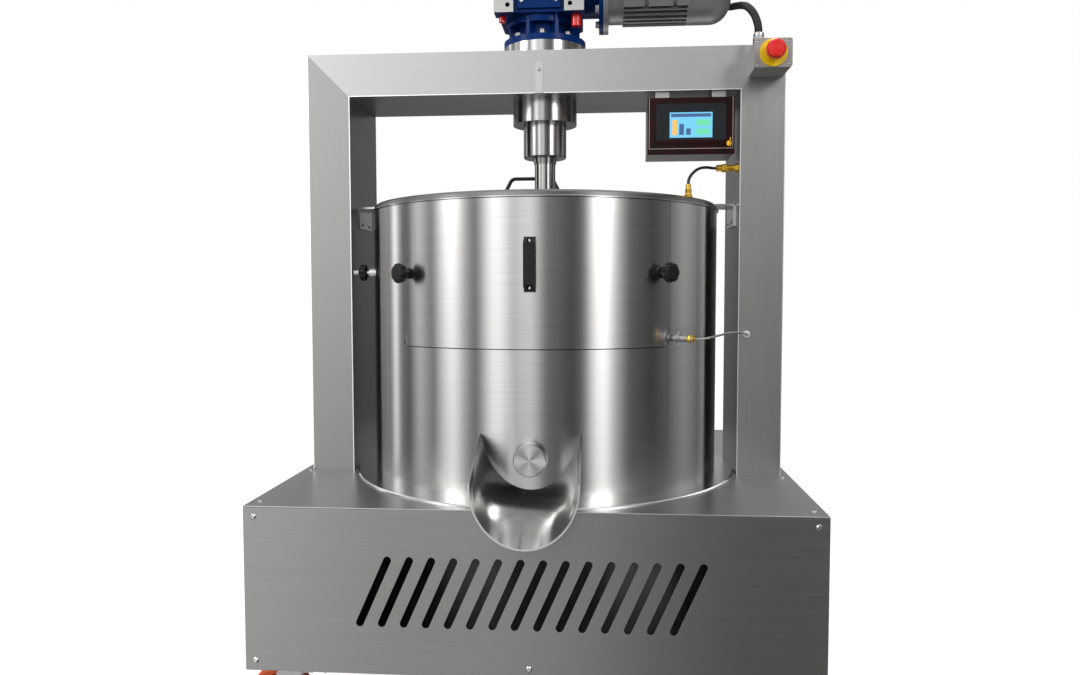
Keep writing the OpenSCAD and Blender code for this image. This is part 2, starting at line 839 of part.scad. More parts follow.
// Screw from the left column to the drum, with its pad shaped to the shell
module clamp_spindle() {
    pad_t = 9;
    reach = pad_face - pad_t;
    color(steel) translate([-col_in, clamp_y, clamp_z]) {
        bar_x(5 - fit, -18, reach + 1, 32);
        difference() {
            bar_x(11.5, reach, pad_face + 4, 48);
            translate([col_in, -clamp_y, -20]) cylinder(r = drum_r + gap, h = 40, $fn = 160);
        }
    }
}

// Lobed knob of the side clamp
module clamp_knob() {
    color(black) translate([-col_in, clamp_y, clamp_z]) difference() {
        translate([boss_h + clamp_travel + gap, 0, 0]) rotate([0, 90, 0]) lobed_grip(19, 14, 7);
        bar_x(5, 0, 60, 32);
    }
}

// Temperature probe

module probe_body() {
    color(steel) at_front(probe_angle, probe_z) difference() {
        union() {
            bar_out(4, bowl_r + 0.5, drum_r + 2, 24);
            bar_out(gland_r, drum_r - 3, drum_r + 10, 6);
            bar_out(6, drum_r + 10, drum_r + 46, 32);
            bar_out(gland_r, drum_r + 34, drum_r + 40, 32);
            bar_out(3.5, drum_r + 46, drum_r + 62, 32);
            bar_out(5.5, drum_r + 52, drum_r + 57, 32);
        }
        difference() {
            cylinder(r = drum_r, h = 60, center = true, $fn = 160);
            translate([0, 2, 0]) bar_out(4, bowl_r - 30, drum_r + 2, 24);
        }
    }
}

// Wing nut that locks the probe
module probe_wing_nut() {
    from = drum_r + 16;
    color(steel) at_front(probe_angle, probe_z) difference() {
        union() {
            bar_out(9, from, from + 9, 32);
            for (side = [-1, 1]) translate([0, -from - 9, 0]) rotate([90 + side * 12, 0, 0])
                translate([-1.5, side > 0 ? 0 : -13, -8]) cube([3, 13, 7]);
        }
        bar_out(6 + fit, from - 10, from + 30, 32);
    }
}

module probe_lead() {
    color(dark_steel) swept_tube(lead_route, 2, 4, [0, 0, 1]);
}

// White grommet in the front of the right column
module lead_grommet() {
    end = lead_route[len(lead_route) - 1];
    color("white") translate([end[0], -col_d / 2, end[2]]) rotate([90, 0, 0])
        rotate_extrude($fn = 48) polygon([[0, 0], [8.5, 0], [8.5, 3], [5, 10], [0, 10]]);
}

// Hose to the lid

// Brass coupling through the right column
module hose_bulkhead() {
    color(brass) translate([col_in, hose_y, hose_z]) rotate([0, 0, 180]) {
        bar_x(10, 0, 6, 6);
        bar_x(7, 6, 22, 32);
        bar_x(9.5, 22, 34, 6);
        bar_x(7.5, 34, 46, 32);
    }
}

module lid_hose() {
    color(black) swept_tube(hose_route, 3.2, 4, [0, 0, 1]);
}

// Brass coupling on the lid
module lid_fitting() {
    color(brass) translate([fitting_at[0], fitting_at[1], lid_top]) {
        cylinder(r = 8.5, h = 6, $fn = 6);
        cylinder(r = 5.5, h = fitting_h, $fn = 32);
        translate([0, 0, 9]) cylinder(r = 7, h = 8, $fn = 6);
    }
}

// Drive

module case_plan(w, d, c) {
    polygon([
        [-w + c, -d], [w - c, -d], [w, -d + c], [w, d - c], [w - c, d], [-w + c, d], [-w, d - c],
        [-w, -d + c]
    ]);
}

// Right-angle gearbox: foot flange, ribbed neck, chamfered case, front pads and motor flange
module gearbox() {
    pad_w = 44;
    pad_out = 12;
    hole_half = 70;
    neck_case_r = 64;
    rib_out = 86;
    rib_t = 8;
    web_w = 96;
    color(blue_paint) difference() {
        union() {
            translate([0, 0, spacer_top]) cylinder(r = flange_r - 0.5, h = box_flange_t, $fn = 96);
            translate([0, 0, box_flange_top - 1]) 
                cylinder(r = neck_case_r, h = box_low - box_flange_top + 5, $fn = 64);
            for (i = [0 : 7]) rotate([0, 0, 22.5 + 45 * i])
                translate([neck_case_r - 4, -rib_t / 2, box_flange_top - 1])
                    cube([rib_out - neck_case_r + 4, rib_t, box_low - box_flange_top + 2]);
            translate([box_x, 0, box_low]) linear_extrude(box_high - box_low)
                case_plan(box_half_w, box_half_d, 22);
            translate([box_x, 0, box_low - 16]) cylinder(r = 82, h = 18, $fn = 64);
            for (side = [-1, 1]) translate([box_x + side * (box_half_w + 6 - pad_w / 2) - pad_w / 2,
                -box_half_d - pad_out, box_low - 2])
                cube([pad_w, pad_out + 30, box_high - box_low + 4]);
            translate([box_x - web_w / 2, -box_half_d - 6, box_low + 8])
                cube([web_w, 20, box_high - box_low - 16]);
            translate([box_x, 0, box_high - 1]) cylinder(r = 62, h = 13, $fn = 64);
            translate([0, 0, motor_z]) bar_x(58, box_x + box_half_w - 4, motor_x + 2);
            translate([0, 0, motor_z]) bar_x(motor_flange_r, motor_x, motor_x + 10, 96);
        }
        translate([0, 0, spacer_top - 1]) cylinder(r = shaft_r + fit, h = box_high - spacer_top - 20);
        for (side = [-1, 1]) for (z = [box_low + 14, box_high - 31])
            translate([box_x + side * hole_half, -box_half_d - pad_out - 1, z]) rotate([-90, 0, 0])
                cylinder(r = 5.1, h = 21, $fn = 32);
    }
}

// Breather and drain plugs of the gearbox
module gearbox_plugs() {
    color("firebrick") {
        translate([box_x - box_half_w + 10, -box_half_d + 20, box_low - 15])
            cylinder(r = 8, h = 13, $fn = 32);
        translate([box_x + box_half_w - 12, -box_half_d + 20, box_low - 28])
            cylinder(r = 11, h = 26, $fn = 32);
        translate([box_x, 30, box_high + 12]) cylinder(r = 9, h = 14, $fn = 6);
    }
}

// Turned spacer between the beam and the gearbox
module gearbox_spacer() {
    color(steel) ring_z(shaft_r + 4, flange_r, portal_top, spacer_top, 96);
}

// Stepped bearing housing under the beam
module bearing_housing() {
    color(steel) difference() {
        union() {
            translate([0, 0, beam_z - housing_h]) cylinder(r = housing_r, h = housing_h, $fn = 96);
            translate([0, 0, neck_bottom + 2]) cylinder(r = neck_r, h = neck_h, $fn = 96);
            translate([0, 0, neck_bottom]) cylinder(r1 = neck_r - 2, r2 = neck_r, h = 2, $fn = 96);
        }
        translate([0, 0, neck_bottom - 1]) cylinder(r = shaft_r + fit, h = 200);
    }
}

// Vertical shaft with its flared collar and its foot journal
module drive_shaft() {
    z = bed_top + gap;
    shoulder = bed_top + bush_h + 4;
    top = box_high - 30;
    color(steel) rotate_extrude($fn = 64) polygon([
        [0, z], [pilot_r - 2, z], [pilot_r, z + 2], [pilot_r, shoulder], [shaft_r, shoulder + 4],
        [shaft_r, neck_bottom - collar_h - gap], [shaft_r + 1.5, neck_bottom - collar_h - gap],
        [shaft_r + 4, neck_bottom - gap], [shaft_r, neck_bottom - gap], [shaft_r, top], [0, top]
    ]);
}

// Hub with two roller axles and two scraper arms
module roller_carrier() {
    blade_r = bowl_r - 3;
    color(steel) difference() {
        union() {
            translate([0, 0, hub_low]) cylinder(r = hub_r, h = hub_high - hub_low, $fn = 64);
            translate([0, 0, roller_z]) bar_x(axle_r, -axle_end, axle_end);
            for (side = [-1, 1]) {
                inner = roller_track - roller_w / 2 - gap;
                outer = roller_track + roller_w / 2 + gap;
                translate([0, 0, roller_z]) {
                    bar_x(axle_r + 9, side > 0 ? hub_r - 8 : -inner, side > 0 ? inner : -hub_r + 8, 48);
                    bar_x(axle_r + 8, side > 0 ? outer : -outer - 8, side > 0 ? outer + 8 : -outer, 48);
                }
                rotate([0, 0, side > 0 ? 0 : 180]) {
                    translate([-9, hub_r - 6, hub_high - 30]) cube([18, blade_r - hub_r - 24, 14]);
                    translate([-9, blade_r - 40, bed_top + 3]) cube([18, 12, hub_high - bed_top - 20]);
                    translate([0, 0, bed_top + 2]) intersection() {
                        difference() {
                            cylinder(r = blade_r, h = 90, $fn = 96);
                            translate([0, 0, -1]) cylinder(r = blade_r - 5, h = 92, $fn = 96);
                        }
                        translate([-45, 200, 0]) cube([90, 200, 90]);
                    }
                    translate([-9, blade_r - 32, bed_top + 40]) cube([18, 29, 14]);
                }
            }
        }
        translate([0, 0, hub_low - 1]) cylinder(r = shaft_r, h = hub_high - hub_low + 2);
    }
}

// Granite roller on a running bore
module roller(side) {
    from = roller_track - roller_w / 2;
    round_off = 5;
    color(granite) translate([side * from, 0, roller_z]) rotate([0, side * 90, 0])
        rotate_extrude($fn = 128) polygon([
            [axle_r + fit, 0], [axle_r + 26, 0], [axle_r + 26, 6], [roller_r - 40, 6],
            [roller_r - 34, 0], [roller_r - round_off, 0], [roller_r, round_off],
            [roller_r, roller_w - round_off], [roller_r - round_off, roller_w],
            [roller_r - 34, roller_w], [roller_r - 40, roller_w - 6], [axle_r + 26, roller_w - 6],
            [axle_r + 26, roller_w], [axle_r + fit, roller_w]
        ]);
}

module roller_left() { roller(-1); }
module roller_right() { roller(1); }

// Motor

// Teeth of the motor frame: fins every 10 degrees, and a wide foot rail at 55 degrees each way
function tooth(k) = k == 5 || k == 31 ? [k == 5 ? 55 : 305, 7.5, motor_r + 4] : [10 * k, 1.6, motor_r];
frame_outline = [for (k = [0 : 35]) if (k != 6 && k != 30) let (t = tooth(k))
    for (c = [[-t[1] - 0.6, motor_root_r], [-t[1], t[2]], [t[1], t[2]], [t[1] + 0.6, motor_root_r]])
        [c[1] * cos(t[0] + c[0]), c[1] * sin(t[0] + c[0])]];

// Finned frame with its flange, neck and foot rails
module motor_body() {
    notch_w = 9;
    color([0.6, 0.6, 0.6]) translate([0, 0, motor_z]) difference() {
        union() {
            bar_x(motor_flange_r, motor_x + 10, motor_x + 22, 96);
            bar_x(motor_r - 5, motor_x + 21, frame_x + 2, 96);
            translate([frame_x, 0, 0]) rotate([0, 90, 0]) linear_extrude(frame_len - 5) polygon(frame_outline);
            bar_x(motor_r - 0.5, cowl_x - 9, cowl_x, 96);
        }
        for (side = [-1, 1]) rotate([side * 35, 0, 0]) for (x = [48, 112])
            translate([frame_x + x, side > 0 ? -motor_r - 10 : motor_root_r + 4, -20])
                cube([notch_w, 10 + motor_r - motor_root_r - 4, 40]);
        bar_x(fan_shaft_r + fit, cowl_x - 24, cowl_x + 1, 32);
    }
}

// Cooling fan on the rear end of the rotor
module motor_fan() {
    blade_t = 3;
    color(black) translate([0, 0, motor_z]) {
        bar_x(fan_shaft_r, cowl_x - 20, cowl_x + 10, 32);
        bar_x(fan_shaft_r + 3, cowl_x + gap + 2, cowl_x + 34, 32);
        bar_x(fan_r, cowl_x + gap + 2, cowl_x + 6, 64);
        for (i = [0 : 7]) rotate([45 * i, 0, 0])
            translate([cowl_x + 5, -blade_t / 2, 10]) cube([26, blade_t, fan_r - 12]);
    }
}

// Fan cowl with a domed end and a ring of air slots
module fan_cowl() {
    round_r = 46;
    wall = 2.5;
    n = 12;
    color([0.55, 0.55, 0.55]) difference() {
        translate([cowl_x, 0, motor_z]) rotate([0, 90, 0]) rotate_extrude($fn = 96) polygon(concat(
            [[0, cowl_len - wall], [0, cowl_len]],
            [for (i = [0 : n]) let (a = 90 - 90 * i / n)
                [motor_r - round_r + round_r * cos(a), cowl_len - round_r + round_r * sin(a)]],
            [[motor_r, 0], [motor_r - wall, 0]],
            [for (i = [0 : n]) let (a = 90 * i / n, q = round_r - wall)
                [motor_r - round_r + q * cos(a), cowl_len - round_r + q * sin(a)]]
        ));
        for (i = [0 : 15]) translate([0, 0, motor_z]) rotate([22.5 * i, 0, 0])
            translate([cowl_end - 20, -2.2, 12]) cube([30, 4.4, 26]);
    }
}

// Terminal box on the rear side of the motor, with its cable gland
module terminal_box() {
    x = frame_x + 23;
    w = 88;
    h = 70;
    start = conduit_route[0];
    color([0.6, 0.6, 0.6]) {
        difference() {
            translate([x, motor_r - 16, motor_z - h / 2]) cube([w, 66, h]);
            translate([x - 1, 0, motor_z]) bar_x(motor_r + fit, 0, w + 2, 96);
        }
        translate([x - 3, motor_r + 50, motor_z - h / 2 - 3]) cube([w + 6, 10, h + 6]);
        translate([0, start[1], start[2]]) bar_x(12, x + w, start[0], 6);
    }
}

module motor_conduit() {
    color(black) swept_tube(conduit_route, 8.5, 4, [0, 0, 1]);
}

// Controls

module rounded_box(w, d, h, r) {
    linear_extrude(h) {
        translate([-w / 2 + r, 0]) square([w - 2 * r, d]);
        translate([-w / 2, r]) square([w, d - 2 * r]);
        for (sx = [-1, 1]) for (y = [r, d - r])
            translate([sx * (w / 2 - r), y]) circle(r = r, $fn = 32);
    }
}

// Stop button box on the corner of the portal, with its legend ring and cover screws
module stop_box() {
    cover = 22;
    color([0.72, 0.72, 0.72]) translate([stop_x, stop_y, stop_z]) difference() {
        union() {
            translate([0, 0, -stop_h / 2]) rotate([90, 0, 0]) translate([0, 0, -cover])
                rounded_box(stop_w, stop_h, cover, 5);
            translate([-stop_w / 2 + 2, cover + 0.8, -stop_h / 2 + 1.5])
                cube([stop_w - 4, stop_d - cover - 0.8, stop_h - 3]);
            translate([-stop_w / 2 + 3, cover - 2, -stop_h / 2 + 3]) cube([stop_w - 6, 4, stop_h - 6]);
        }
        rotate([-90, 0, 0]) translate([0, 0, -1]) cylinder(r = 11 + fit, h = 33, $fn = 48);
        for (sx = [-1, 1]) for (sz = [-1, 1])
            translate([sx * (stop_w / 2 - 7), 0, sz * (stop_h / 2 - 7)]) rotate([-90, 0, 0])
                translate([0, 0, -1]) cylinder(r = 3, h = 3, $fn = 24);
    }
}

stop_travel = 5;

// Red mushroom head on its plunger
module stop_button() {
    color("red") translate([stop_x, stop_y, stop_z]) rotate([90, 0, 0]) {
        translate([0, 0, -24]) cylinder(r = 11, h = 26, $fn = 48);
        rotate_extrude($fn = 64) polygon([
            [0, 1], [11, 1], [11, stop_travel + 3], [14, stop_travel + 3], [15, 14], [button_r - 1, 18],
            [button_r, 20], [button_r, 31], [button_r - 2, 35], [button_r - 6, 37], [0, 38]
        ]);
    }
}

// Box of the touch panel, hung under the beam
module panel_box() {
    top = panel_z + panel_h / 2;
    color(dark_steel) {
        difference() {
            translate([panel_x - panel_w / 2, panel_front, panel_z - panel_h / 2])
                cube([panel_w, panel_d, panel_h]);
            translate([panel_x + key_dx, panel_front - 1, panel_z + key_dz]) rotate([-90, 0, 0])
                cylinder(r = 5 + fit, h = 22, $fn = 32);
        }
        for (side = [-1, 1]) translate([panel_x + side * 62 - 15, panel_front + 12, top])
            cube([30, 72, beam_z - top]);
    }
}

// Glossy front plate with the bezel of the screen
module panel_screen() {
    plate = 3;
    color(black) difference() {
        union() {
            translate([panel_x - panel_w / 2 - 1, panel_front - plate, panel_z - panel_h / 2 - 1])
                cube([panel_w + 2, plate, panel_h + 2]);
            translate([panel_x - bezel_w / 2, panel_front - plate - 2.5, panel_z - bezel_h / 2 + 2])
                cube([bezel_w, 3, bezel_h]);
        }
        translate([panel_x - 47, panel_front - plate - 3, panel_z - 26]) cube([94, 1.5, 56]);
        translate([panel_x + key_dx, panel_front - 10, panel_z + key_dz]) rotate([-90, 0, 0])
            cylinder(r = 5 + fit, h = 12, $fn = 32);
    }
}

// Key switch in the corner of the panel
module key_switch() {
    color(brass) translate([panel_x + key_dx, panel_front, panel_z + key_dz]) rotate([90, 0, 0]) {
        translate([0, 0, -20]) cylinder(r = 5, h = 25, $fn = 32);
        translate([0, 0, 3 + gap]) cylinder(r = key_r, h = 3, $fn = 32);
        translate([-1.2, -5, 5]) cube([2.4, 10, 14]);
        translate([-1.2, -10, 12]) cube([2.4, 20, 12]);
    }
}

// Castors

module castor_plate() {
    color(steel) {
        translate([-plate_len / 2, -plate_wide / 2, castor_h - plate_t])
            cube([plate_len, plate_wide, plate_t]);
        difference() {
            translate([0, 0, castor_h - plate_t - race_h]) cylinder(r = race_r, h = race_h + 1);
            translate([0, 0, castor_h - plate_t - race_h - 1]) cylinder(r = 8 + fit, h = race_h + 3, $fn = 32);
        }
    }
}

// Top plates and races of the two swivelling castors
module swivel_plates() {
    difference() {
        for (y = [front_castor_y, rear_castor_y]) translate([-plate_x, y, 0]) castor_plate();
        for (y = [front_castor_y, rear_castor_y])
            translate([-plate_x, y, castor_h - plate_t - 1]) cylinder(r = 8 + fit, h = 4, $fn = 32);
    }
}

// Two pressed legs and the axle bolt, with the wheel to the left of the swivel by the trail
module fork_legs(x, z_top) {
    inner = wheel_w / 2 + leg_gap + leg_t;
    for (side = [-1, 1]) {
        y = side > 0 ? inner : -inner - leg_t;
        translate([0, y + leg_t, 0]) rotate([90, 0, 0]) linear_extrude(leg_t) polygon([
            [-saddle_len / 2, z_top], [saddle_len / 2, z_top], [saddle_len / 2, z_top - 12],
            [x + 13, wheel_r - 4],
            [x + 6, wheel_r - 13], [x - 6, wheel_r - 13], [x - 13, wheel_r - 4], [x - 14, wheel_r + 8]
        ]);
    }
    translate([x, 0, wheel_r]) rotate([90, 0, 0])
        cylinder(r = axle_bolt_r, h = 2 * (inner + leg_t) + 6, center = true, $fn = 32);
}

fork_top = castor_h - plate_t - race_h - gap;

module swivel_fork(y) {
    inner = wheel_w / 2 + leg_gap + leg_t;
    color(steel) translate([-plate_x, y, 0]) {
        translate([0, 0, fork_top - 5]) cylinder(r = race_r + 2, h = 5);
        translate([-saddle_len / 2, -inner - leg_t, fork_top - 5])
            cube([saddle_len, 2 * (inner + leg_t), 4]);
        translate([0, 0, fork_top - 1]) cylinder(r = 8, h = race_h + 1.5, $fn = 32);
        fork_legs(-trail, fork_top - 1);
        for (side = [-1, 1]) difference() {
            translate([24, side > 0 ? inner - leg_t - 2 : -inner + 2, fork_top - 24]) cube([16, leg_t, 24]);
            translate([pedal_x, 0, fork_top - pedal_drop]) rotate([90, 0, 0])
                cylinder(r = pedal_pin_r + fit, h = 80, center = true, $fn = 32);
        }
    }
}

// Foot pedal of the castor brake on its cross pin
module brake_pedal(y) {
    shoe = 30;
    half = wheel_w / 2;
    inner = wheel_w / 2 + leg_gap + leg_t;
    color(steel) translate([pedal_x - plate_x, y, fork_top - pedal_drop]) {
        rotate([90, 0, 0]) cylinder(r = pedal_pin_r, h = 2 * inner + 2, center = true, $fn = 32);
        rotate([90, 0, 0]) cylinder(r = pedal_pin_r + 3.5, h = 2 * half - 2, center = true, $fn = 32);
        rotate([0, 20, 0]) {
            translate([0, -half + 3, -2]) cube([36, 2 * half - 6, 4]);
            for (i = [0 : 3]) translate([12 + 6 * i, -half + 5, 1]) cube([3, 2 * half - 10, 2.5]);
        }
        rotate([0, -45, 0]) translate([-shoe, -half + 6, -2]) cube([shoe, 2 * half - 12, 4]);
    }
}

module brake_pedal_front() { brake_pedal(front_castor_y); }
module brake_pedal_rear() { brake_pedal(rear_castor_y); }

module castor_fork_front() { swivel_fork(front_castor_y); }
module castor_fork_rear() { swivel_fork(rear_castor_y); }

// Two rigid castors on the right: plates, legs and axle bolts
module fixed_castors() {
    saddle_t = 12;
    inner = wheel_w / 2 + leg_gap + leg_t;
    color(steel) for (y = [front_castor_y, rear_castor_y]) translate([plate_x, y, 0]) {
        translate([-plate_len / 2, -plate_wide / 2, castor_h - plate_t])
            cube([plate_len, plate_wide, plate_t]);
        translate([-saddle_len / 2, -inner - leg_t, castor_h - plate_t - saddle_t])
            cube([saddle_len, 2 * (inner + leg_t), saddle_t + 0.5]);
        fork_legs(0, castor_h - plate_t - 8);
    }
}

// Castor wheel: tyre and hub, bored for the bolt
module castor_wheel(x, y) {
    half = wheel_w / 2;
    hub = half + leg_gap;
    color("orangered") translate([x, y, wheel_r]) rotate([90, 0, 0]) rotate_extrude($fn = 96) polygon([
        [axle_bolt_r + fit, -hub], [14, -hub], [16, -half + 6], [wheel_r - 16, -half + 6],
        [wheel_r - 14, -half], [wheel_r - 5, -half], [wheel_r, -half + 6], [wheel_r, half - 6],
        [wheel_r - 5, half], [wheel_r - 14, half], [wheel_r - 16, half - 6], [16, half - 6], [14, hub],
        [axle_bolt_r + fit, hub]
    ]);
}

module castor_wheel_front_left() { castor_wheel(-plate_x - trail, front_castor_y); }
module castor_wheel_rear_left() { castor_wheel(-plate_x - trail, rear_castor_y); }
module castor_wheel_front_right() { castor_wheel(plate_x, front_castor_y); }
module castor_wheel_rear_right() { castor_wheel(plate_x, rear_castor_y); }

base_frame();
base_shell();
base_front_panel();
base_top_plate();
panel_screws();
plinth_ring();
portal_frame();
beam_strap();
drum_shell();
drum_bowl();
granite_bed();
lid_front();
lid_rear();
lid_handle();
lid_hinge_pin();
drum_brackets();
front_hatch();
hatch_handle();
hatch_knob_left();
hatch_knob_right();
chute();
discharge_port();
discharge_plug();
clamp_spindle();
clamp_knob();
probe_body();
probe_wing_nut();
probe_lead();
lead_grommet();
hose_bulkhead();
lid_hose();
lid_fitting();
gearbox();
gearbox_plugs();
gearbox_spacer();
bearing_housing();
drive_shaft();
roller_carrier();
roller_left();
roller_right();
motor_body();
motor_fan();
fan_cowl();
terminal_box();
motor_conduit();
stop_box();
stop_button();
panel_box();
panel_screen();
key_switch();
swivel_plates();
castor_fork_front();
castor_fork_rear();
brake_pedal_front();
brake_pedal_rear();
fixed_castors();
castor_wheel_front_left();
castor_wheel_rear_left();
castor_wheel_front_right();
castor_wheel_rear_right();
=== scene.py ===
"""Looks for the cocoa stone grinder: camera, studio, finishes, and the pieces that dress its solids."""

import logging
import math
from dataclasses import dataclass
from enum import Enum
from typing import Any, Callable, Optional, Sequence, Union

import bmesh
import bpy
from mathutils import Matrix, Vector


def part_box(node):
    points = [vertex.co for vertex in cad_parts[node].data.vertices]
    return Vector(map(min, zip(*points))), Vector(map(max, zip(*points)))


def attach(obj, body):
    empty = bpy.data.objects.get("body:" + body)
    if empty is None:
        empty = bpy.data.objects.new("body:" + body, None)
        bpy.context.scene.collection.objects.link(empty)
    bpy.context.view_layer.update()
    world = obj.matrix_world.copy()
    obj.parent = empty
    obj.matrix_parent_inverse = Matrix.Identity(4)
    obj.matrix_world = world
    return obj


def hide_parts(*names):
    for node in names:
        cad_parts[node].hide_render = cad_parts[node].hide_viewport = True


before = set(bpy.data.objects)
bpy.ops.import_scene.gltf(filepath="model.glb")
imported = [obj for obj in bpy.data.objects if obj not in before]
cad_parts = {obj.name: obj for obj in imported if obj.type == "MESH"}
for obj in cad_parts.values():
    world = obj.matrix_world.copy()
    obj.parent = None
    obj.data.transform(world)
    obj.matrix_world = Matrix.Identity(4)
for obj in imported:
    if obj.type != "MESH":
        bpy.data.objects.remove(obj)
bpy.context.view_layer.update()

log = logging.getLogger("grinder")
MM = 0.001
Pair = tuple[float, float]
Point = tuple[float, float, float]
Shade = tuple[float, float, float]
FORWARD: Point = (0.0, -1.0, 0.0)
UP: Point = (0.0, 0.0, 1.0)


def mm(*values: float) -> Vector:
    """Returns a vector in metres from millimetres."""
    return Vector([v * MM for v in values])


def low(node: str) -> Vector:
    """Returns the lowest corner of a CAD node, in metres."""
    return Vector(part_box(node)[0])


def high(node: str) -> Vector:
    """Returns the highest corner of a CAD node, in metres."""
    return Vector(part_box(node)[1])


def middle(node: str) -> Vector:
    """Returns the centre of a CAD node's box, in metres."""
    return (low(node) + high(node)) / 2


class Axis(Enum):
    """A direction of the part: the grain of a sheet or the axis of a turned piece."""

    X = 0
    Y = 1
    Z = 2


def operator(operation: str, reflected: bool = False) -> Callable[..., "Sock"]:
    """Makes an operator of a socket from a Math node's operation.

    Args:
        operation: The Math node's operation.
        reflected: Whether the socket stands on the right.

    Returns:
        The method.
    """
    def method(self: "Sock", *others: "Term") -> "Sock":
        """Returns the Math node's result."""
        return self.graph.math(operation, *((*others, self) if reflected else (self, *others)))
    return method


class Sock:
    """An output socket that takes part in Python expressions."""

    def __init__(self, graph: "Graph", socket: bpy.types.NodeSocket) -> None:
        """Wraps a socket of a graph."""
        self.graph = graph
        self.socket = socket

    __add__, __radd__ = operator("ADD"), operator("ADD", True)
    __sub__, __rsub__ = operator("SUBTRACT"), operator("SUBTRACT", True)
    __mul__, __rmul__ = operator("MULTIPLY"), operator("MULTIPLY", True)
    __truediv__, __rtruediv__ = operator("DIVIDE"), operator("DIVIDE", True)
    __gt__, __lt__ = operator("GREATER_THAN"), operator("LESS_THAN")
    __abs__ = operator("ABSOLUTE")


Term = Union[float, Sock]


class Graph:
    """A node tree that is filled from Python expressions."""

    def __init__(self, tree: bpy.types.NodeTree) -> None:
        """Wraps a node tree."""
        self.tree = tree

    @staticmethod
    def _pick(sockets: Any, key: Union[int, str]) -> bpy.types.NodeSocket:
        """Returns a socket by its index, identifier or name."""
        return {s.identifier: s for s in sockets}.get(key) or sockets[key]

    def node(self, kind: str, settings: Optional[dict[str, Any]] = None,
             values: Optional[dict[Union[int, str], Any]] = None) -> bpy.types.Node:
        """Adds a node, sets it up, and fills or links its inputs.

        Args:
            kind: The node's type.
            settings: The node's own properties, set first. "stops" fills a colour ramp.
            values: Numbers, colours or sockets for its inputs.

        Returns:
            The new node.
        """
        made = self.tree.nodes.new(kind)
        for name, value in (settings or {}).items():
            if name == "stops":
                self._fill_ramp(made.color_ramp, value)
            else:
                setattr(made, name, value)
        self.fill(made, values or {})
        return made

    def fill(self, made: bpy.types.Node, values: dict[Union[int, str], Any]) -> None:
        """Fills or links the inputs of a node.

        Args:
            made: The node.
            values: Numbers, colours or sockets for its inputs.
        """
        for key, value in values.items():
            target = self._pick(made.inputs, key)
            if isinstance(value, Sock):
                self.tree.links.new(value.socket, target)
            else:
                target.default_value = value

    @staticmethod
    def _fill_ramp(ramp: bpy.types.ColorRamp, stops: Sequence[tuple[float, float]]) -> None:
        """Gives a ramp grey stops.

        Args:
            ramp: The ramp.
            stops: The place and the level of each stop.
        """
        while len(ramp.elements) < len(stops):
            ramp.elements.new(1.0)
        for element, (place, level) in zip(ramp.elements, stops):
            element.position = place
            element.color = (level, level, level, 1.0)

    def get(self, kind: str, out: Union[int, str], settings: Optional[dict[str, Any]] = None,
            values: Optional[dict[Union[int, str], Any]] = None) -> Sock:
        """Adds a node as node() does and returns one of its outputs."""
        made = self.node(kind, settings, values)
        return Sock(self, self._pick(made.outputs, out))

    def math(self, operation: str, *terms: Term) -> Sock:
        """Returns the result of a Math node on numbers or sockets."""
        return self.get("ShaderNodeMath", 0, {"operation": operation}, dict(enumerate(terms)))

    def combine(self, x: Term, y: Term, z: Term) -> Sock:
        """Returns a vector of three numbers or sockets."""
        return self.get("ShaderNodeCombineXYZ", 0, None, {0: x, 1: y, 2: z})

    def mix(self, factor: Term, first: Any, second: Any) -> Sock:
        """Returns a colour between two, by a factor from 0 to 1."""
        return self.get("ShaderNodeMix", "Result_Color", {"data_type": "RGBA"},
                        {"Factor_Float": factor, "A_Color": first, "B_Color": second})

    def noise(self, vector: Sock, scale: float, detail: float = 3.0, rough: float = 0.5) -> Sock:
        """Returns a noise from 0 to 1 at a place."""
        return self.get("ShaderNodeTexNoise", 0, None,
                        {"Vector": vector, "Scale": scale, "Detail": detail, "Roughness": rough})

    def outs(self, made: bpy.types.Node, count: int) -> list[Sock]:
        """Returns a node's first outputs."""
        return [Sock(self, made.outputs[i]) for i in range(count)]

    def at(self) -> Sock:
        """Returns the object coordinates as a vector, in metres."""
        return self.get("ShaderNodeTexCoord", "Object")

    def place(self) -> list[Sock]:
        """Returns the object coordinates X, Y and Z, in metres."""
        return self.outs(self.node("ShaderNodeSeparateXYZ", None, {0: self.at()}), 3)

    def ramp(self, value: Sock, stops: Sequence[tuple[float, float]]) -> Sock:
        """Returns a grey level that a ramp gives for a value from 0 to 1."""
        return self.get("ShaderNodeValToRGB", 0, {"stops": stops}, {0: value})


def rgba(shade: Shade, factor: float = 1.0) -> tuple[float, float, float, float]:
    """Returns an opaque colour, made lighter or darker by a factor."""
    return tuple(min(1.0, c * factor) for c in shade) + (1.0,)


class Look(Graph):
    """A material's graph, with its shader."""

    def __init__(self, name: str) -> None:
        """Starts a material.

        Args:
            name: The material's name.
        """
        self.material = bpy.data.materials.new(name)
        self.material.use_nodes = True
        super().__init__(self.material.node_tree)
        self.shader = self.tree.nodes["Principled BSDF"]

    def paint(self, values: dict[str, Any]) -> None:
        """Fills or links the inputs of the shader."""
        self.fill(self.shader, values)

    def bump(self, height: Sock, strength: float, depth: float) -> None:
        """Lets a height shape the surface's normal."""
        values = {"Strength": strength, "Distance": depth, "Height": height}
        self.paint({"Normal": self.get("ShaderNodeBump", 0, None, values)})


